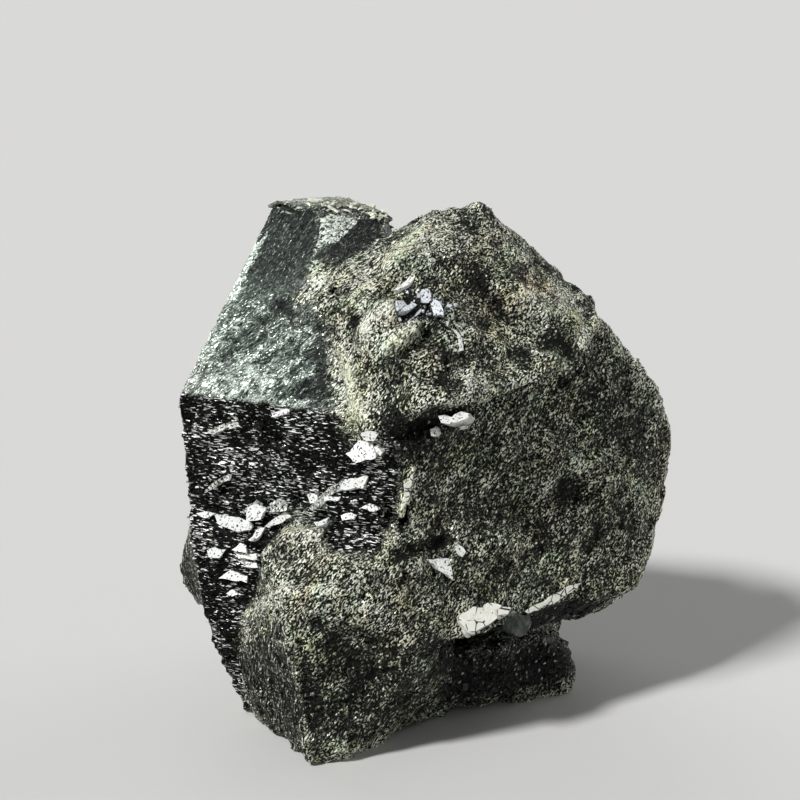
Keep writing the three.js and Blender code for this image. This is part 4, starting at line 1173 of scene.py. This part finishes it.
        "blockLeft": (0, 3, [(7.7, -13, 13.9), (8.6, -13.1, 14.6), (9.3, -13.4, 14.5), (9.7, -13.9, 13.6),
            (9.9, -14.5, 12.2), (9.1, -14.1, 12.4), (8.2, -13.5, 12.9)]),
        "blockRight": (0, 3, [(9.6, -12.6, 14.1), (10.1, -12.4, 13.9), (11, -11.9, 13.5),
            (11.2, -12.1, 12.5), (10.7, -12.7, 11.9), (10, -13.1, 11.7), (9.7, -12.9, 13.2)])},
}


def onSkin(point):
    _, place, normal, _ = stone.closest_point_on_mesh(Vector(point) * millimetre)
    return place / millimetre, normal


def ragged(corners, normal, random):  # breaks long edges into short ones that wander a little
    points = []
    for corner, following in zip(corners, corners[1:] + corners[:1]):
        steps = max(1, round((following - corner).length / plateForm["edge"]))
        for step in range(steps):
            wander = Vector(random.uniform(-plateForm["wander"], plateForm["wander"], 3))
            points.append(corner.lerp(following, step / steps) + wander - normal * wander.dot(normal))
    return points


def makePlates(finish):
    random = np.random.default_rng(plateForm["seed"])
    made = bmesh.new()
    for lean, depth, given in plates[finish].values():
        found = [onSkin(corner) for corner in given]
        corners = [Vector(corner) for corner in given] if depth else [place for place, _ in found]
        middle = sum(corners, Vector()) / len(corners)
        out = sum([normal for _, normal in found], Vector()).normalized()
        sides = zip(corners, corners[1:] + corners[:1])
        area = sum([(a - middle).cross(b - middle) for a, b in sides], Vector())
        normal = area.normalized() if area.dot(out) > 0 and not depth else -area.normalized()
        flat = [corner - normal * (corner - middle).dot(normal) for corner in corners]
        top = max(corner.z for corner in flat)
        raised = [corner + normal * (plateForm["lift"] + lean * (top - corner.z)) for corner in flat]
        outline = ragged(raised, normal, random)
        inward = normal * (depth or plateForm["depth"])
        sunk = [middle.lerp(point, plateForm["foot"]) - inward for point in outline]
        upper = [made.verts.new(point * millimetre) for point in outline]
        lower = [made.verts.new(point * millimetre) for point in sunk]
        made.faces.new(upper)
        made.faces.new(lower)
        for i, j in zip(range(len(upper)), [*range(1, len(upper)), 0]):
            made.faces.new((upper[i], upper[j], lower[j], lower[i]))
    bmesh.ops.recalc_face_normals(made, faces=made.faces)
    bmesh.ops.triangulate(made, faces=made.faces)
    mesh = bpy.data.meshes.new(finish + "Plates")
    made.to_mesh(mesh)
    made.free()
    mesh.materials.append(finishes[finish])
    return addObject(finish + "Plates", mesh)


plateObjects = [makePlates(finish) for finish in plates]
print("facets placed")


class Growth:  # builds one geometry tree
    def __init__(self, name):
        self.tree = bpy.data.node_groups.new(name, "GeometryNodeTree")
        self.tree.interface.new_socket("Geometry", in_out="INPUT", socket_type="NodeSocketGeometry")
        self.tree.interface.new_socket("Geometry", in_out="OUTPUT", socket_type="NodeSocketGeometry")
        self.inputs = {}
        self.group = self.tree.nodes.new("NodeGroupInput")

    def number(self, name, value, kind="NodeSocketFloat"):
        socket = self.tree.interface.new_socket(name, in_out="INPUT", socket_type=kind)
        self.inputs[socket.identifier] = value
        return self.group.outputs[name]

    def node(self, kind, settings, values, output=0):
        made = addNode(self.tree, kind, settings, values)
        return made.outputs[output] if len(made.outputs) else made

    def mask(self, name):
        return self.node("GeometryNodeInputNamedAttribute", {"data_type": "FLOAT"}, {"Name": name})

    def grow(self, result, name, material):  # runs the tree on the stone and keeps the plain mesh
        realized = self.node("GeometryNodeRealizeInstances", {}, {"Geometry": result})
        painted = self.node("GeometryNodeSetMaterial", {}, {"Geometry": realized, "Material": material})
        self.node("NodeGroupOutput", {}, {"Geometry": painted})
        modifier = stone.modifiers.new(name, "NODES")
        modifier.node_group = self.tree
        for identifier, value in self.inputs.items():
            modifier[identifier] = value
        bpy.context.view_layer.update()
        mesh = bpy.data.meshes.new_from_object(stone.evaluated_get(bpy.context.evaluated_depsgraph_get()))
        stone.modifiers.remove(modifier)
        mesh.name = name
        return addObject(name, mesh)


flowTurn = tuple(Vector((1, 0, 0)).rotation_difference(Vector(stoneForm["flow"])).to_euler())
anyTurn = (0, 0, 0)
ledgeTurn = (0.75, 0, -0.445)
rimTurn = (0.15, 0, -0.2)

# Lengths in millimetres, density for each square millimetre and turns in radians; a higher power makes
# more of the grains small
grainSets = {
    "coarseGrains": {
        "mask": "ore", "finish": "grain", "shape": (1, 0.6, 0.5), "size": (0.2, 0.4), "power": 2.4,
        "spacing": 0.8, "density": 0.5, "sunk": 0.1, "turn": flowTurn, "spread": 0.9, "tones": (0.1, 0.7),
        "seed": 3},
    "fineGrains": {
        "mask": "ore", "finish": "grain", "shape": (1, 0.5, 0.45), "size": (0.12, 0.3), "power": 1.4,
        "spacing": 0.36, "density": 2.7, "sunk": 0.03, "turn": flowTurn, "spread": 0.7, "tones": (0, 1),
        "seed": 8},
    # Pale flecks on the ledges: painted highlights, like the dashes
    "ledgeFlecks": {
        "mask": "stepped", "finish": "fleck", "shape": (1, 0.24, 0.1), "size": (0.25, 1), "power": 2,
        "spacing": 0.5, "density": 1.1, "sunk": 0.07, "turn": ledgeTurn, "spread": 0.2, "tones": (0.6, 1),
        "seed": 12},
    "rimFlakes": {
        "mask": "rim", "finish": "grain", "shape": (1, 0.55, 0.2), "size": (0.35, 1.5), "power": 1.5,
        "spacing": 0.38, "density": 6, "sunk": 0.03, "turn": rimTurn, "spread": 0.5, "tones": (0.45, 1.15),
        "seed": 17},
    "cavernCrystals": {
        "mask": "cavern", "finish": "glassy", "shape": (1, 0.7, 0.6), "size": (0.25, 0.9), "power": 2.6,
        "spacing": 0.5, "density": 2.4, "sunk": 0.12, "turn": anyTurn, "spread": 3.1, "tones": (0, 1),
        "seed": 23},
    "iceCrystals": {
        "mask": "violet", "finish": "icyGrain", "shape": (1, 0.7, 0.5), "size": (0.2, 0.6), "power": 1.5,
        "spacing": 0.3, "density": 6, "sunk": 0.02, "turn": anyTurn, "spread": 3.1, "tones": (0.2, 1),
        "seed": 29},
}
toneChanges = {"cream": 0.3, "dark": -0.4}  # how the patches change the tone of the grains on them: paler on the cream veins and the painted lit bands, darker in the painted shade of the dark patches
tipForm = {"top": 0.3, "foot": 0.7, "stretch": 0.8}  # of the pointed grains, as shares of their shape


def growGrains(name):
    chosen = grainSets[name]
    growth = Growth(name)
    spacing = growth.number("spacing", chosen["spacing"] * millimetre)
    density = growth.number("density", chosen["density"] / millimetre ** 2)
    smallest = growth.number("smallest", chosen["size"][0] * millimetre)
    largest = growth.number("largest", chosen["size"][1] * millimetre)
    seed = growth.number("seed", chosen["seed"], "NodeSocketInt")
    spread = growth.node("GeometryNodeDistributePointsOnFaces", {"distribute_method": "POISSON"}, {
        "Mesh": growth.group.outputs["Geometry"], "Distance Min": spacing, "Density Max": density,
        "Density Factor": growth.mask(chosen["mask"]), "Seed": seed})
    inward = growth.node("ShaderNodeVectorMath", {"operation": "SCALE"}, {
        "Vector": spread.node.outputs["Normal"], "Scale": -chosen["sunk"] * millimetre})
    spread = growth.node("GeometryNodeSetPosition", {}, {"Geometry": spread, "Offset": inward})
    width, depth, height = chosen["shape"]
    block = growth.node("GeometryNodeMeshCube", {}, {"Size": chosen["shape"]})
    block = growth.node("GeometryNodeGeometryToInstance", {}, {"Geometry": block})
    tip = growth.node("GeometryNodeMeshCone", {}, {
        "Vertices": 4, "Radius Top": tipForm["top"] * depth, "Radius Bottom": tipForm["foot"] * depth,
        "Depth": height})
    stretch = width / depth * tipForm["stretch"]
    tip = growth.node("GeometryNodeTransform", {}, {"Geometry": tip, "Scale": (stretch, 1, 1)})
    tip = growth.node("GeometryNodeGeometryToInstance", {}, {"Geometry": tip})
    shapes = growth.node("GeometryNodeJoinGeometry", {}, {"Geometry": block})
    growth.tree.links.new(tip, shapes.node.inputs["Geometry"])
    turn = growth.node("FunctionNodeRandomValue", {"data_type": "FLOAT_VECTOR"}, {
        "Min": tuple(angle - chosen["spread"] for angle in chosen["turn"]),
        "Max": tuple(angle + chosen["spread"] for angle in chosen["turn"]), "Seed": seed})
    even = growth.node("FunctionNodeRandomValue", {"data_type": "FLOAT"}, {"Seed": seed}, 1)
    small = growth.node("ShaderNodeMath", {"operation": "POWER"}, {0: even, 1: chosen["power"]})
    size = growth.node("ShaderNodeMapRange", {}, {"Value": small, "To Min": smallest, "To Max": largest})
    placed = growth.node("GeometryNodeInstanceOnPoints", {}, {
        "Points": spread, "Instance": shapes, "Pick Instance": True, "Rotation": turn, "Scale": size})
    low, high = chosen["tones"]
    draw = growth.node("FunctionNodeRandomValue", {"data_type": "FLOAT"}, {"Seed": chosen["seed"] + 1}, 1)
    tone = growth.node("ShaderNodeMapRange", {}, {"Value": draw, "To Min": low, "To Max": high})
    for patch, change in toneChanges.items():
        values = {0: growth.mask(patch), 1: change, 2: tone}
        tone = growth.node("ShaderNodeMath", {"operation": "MULTIPLY_ADD"}, values)
    toned = growth.node("GeometryNodeStoreNamedAttribute", {"data_type": "FLOAT", "domain": "INSTANCE"}, {
        "Geometry": placed, "Name": "tone", "Value": tone})
    grown = growth.grow(toned, name, finishes[chosen["finish"]])
    print(name + ":", len(grown.data.polygons), "faces")
    return grown


pieces = [stone] + plateObjects + [growGrains(name) for name in grainSets]


stage = {
    "floor": [(3.5, 0), (4.2, 0.08), (4.7, 0.3), (5, 0.7), (5.05, 1)],  # radius and height, in metres
    "floorSides": 96,
    "floorColour": (0.6, 0.595, 0.58, 1),
    "cameraPlace": (-2.78, -199.2, 92.7),  # millimetres from the middle of the stone's foot
    "cameraTilt": 16.4,  # degrees below level
    "lens": 85,
    "suns": {  # where each comes from, its power, and its width in degrees: wider is softer
        "key": ((-0.55, -0.38, 0.74), 3.3, 9),
        "fill": ((0.8, 0.5, 0.4), 0.7, 40),
        "rear": ((-0.35, 0.85, 0.5), 0.9, 60)},
    "sky": {"Color": (0.95, 0.97, 1, 1), "Strength": 0.14},
}


def addFloor():  # round, and curved up far from the stone
    sides = stage["floorSides"]
    angles = [2 * math.pi * side / sides for side in range(sides)]
    turns = [(math.cos(angle), math.sin(angle)) for angle in angles]
    points = [(radius * x, radius * y, height) for radius, height in stage["floor"] for x, y in turns]
    faces = [tuple(range(sides))]
    for ring in range(len(stage["floor"]) - 1):
        for side in range(sides):
            following = (side + 1) % sides
            low, high = ring * sides, (ring + 1) * sides
            faces.append((low + side, high + side, high + following, low + following))
    mesh = bpy.data.meshes.new("floor")
    mesh.from_pydata(points, [], faces)
    mesh.materials.append(Paint("paleFloor").shade({"Base Color": stage["floorColour"], "Roughness": 0.9}))
    addObject("floor", mesh)


def addSun(name, comesFrom, power, angle):
    light = bpy.data.lights.new(name, "SUN")
    light.energy = power
    light.angle = math.radians(angle)
    addObject(name, light).rotation_euler = Vector(comesFrom).to_track_quat("Z", "Y").to_euler()


def addCamera():
    camera = addObject("camera", bpy.data.cameras.new("camera"))
    camera.data.lens = stage["lens"]
    camera.location = Vector(stage["cameraPlace"]) * millimetre
    camera.rotation_euler = Euler((math.radians(90 - stage["cameraTilt"]), 0, 0))
    bpy.context.scene.camera = camera


def addSky():
    sky = bpy.data.worlds.new("studio")
    sky.use_nodes = True
    for name, value in stage["sky"].items():
        sky.node_tree.nodes["Background"].inputs[name].default_value = value
    bpy.context.scene.world = sky


addFloor()
for name, sun in stage["suns"].items():
    addSun(name, *sun)
addSky()
addCamera()
bpy.context.scene.view_settings.view_transform = "Standard"
print("stage set")

for piece in pieces:
    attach(piece, "root")
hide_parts("skutterudite")
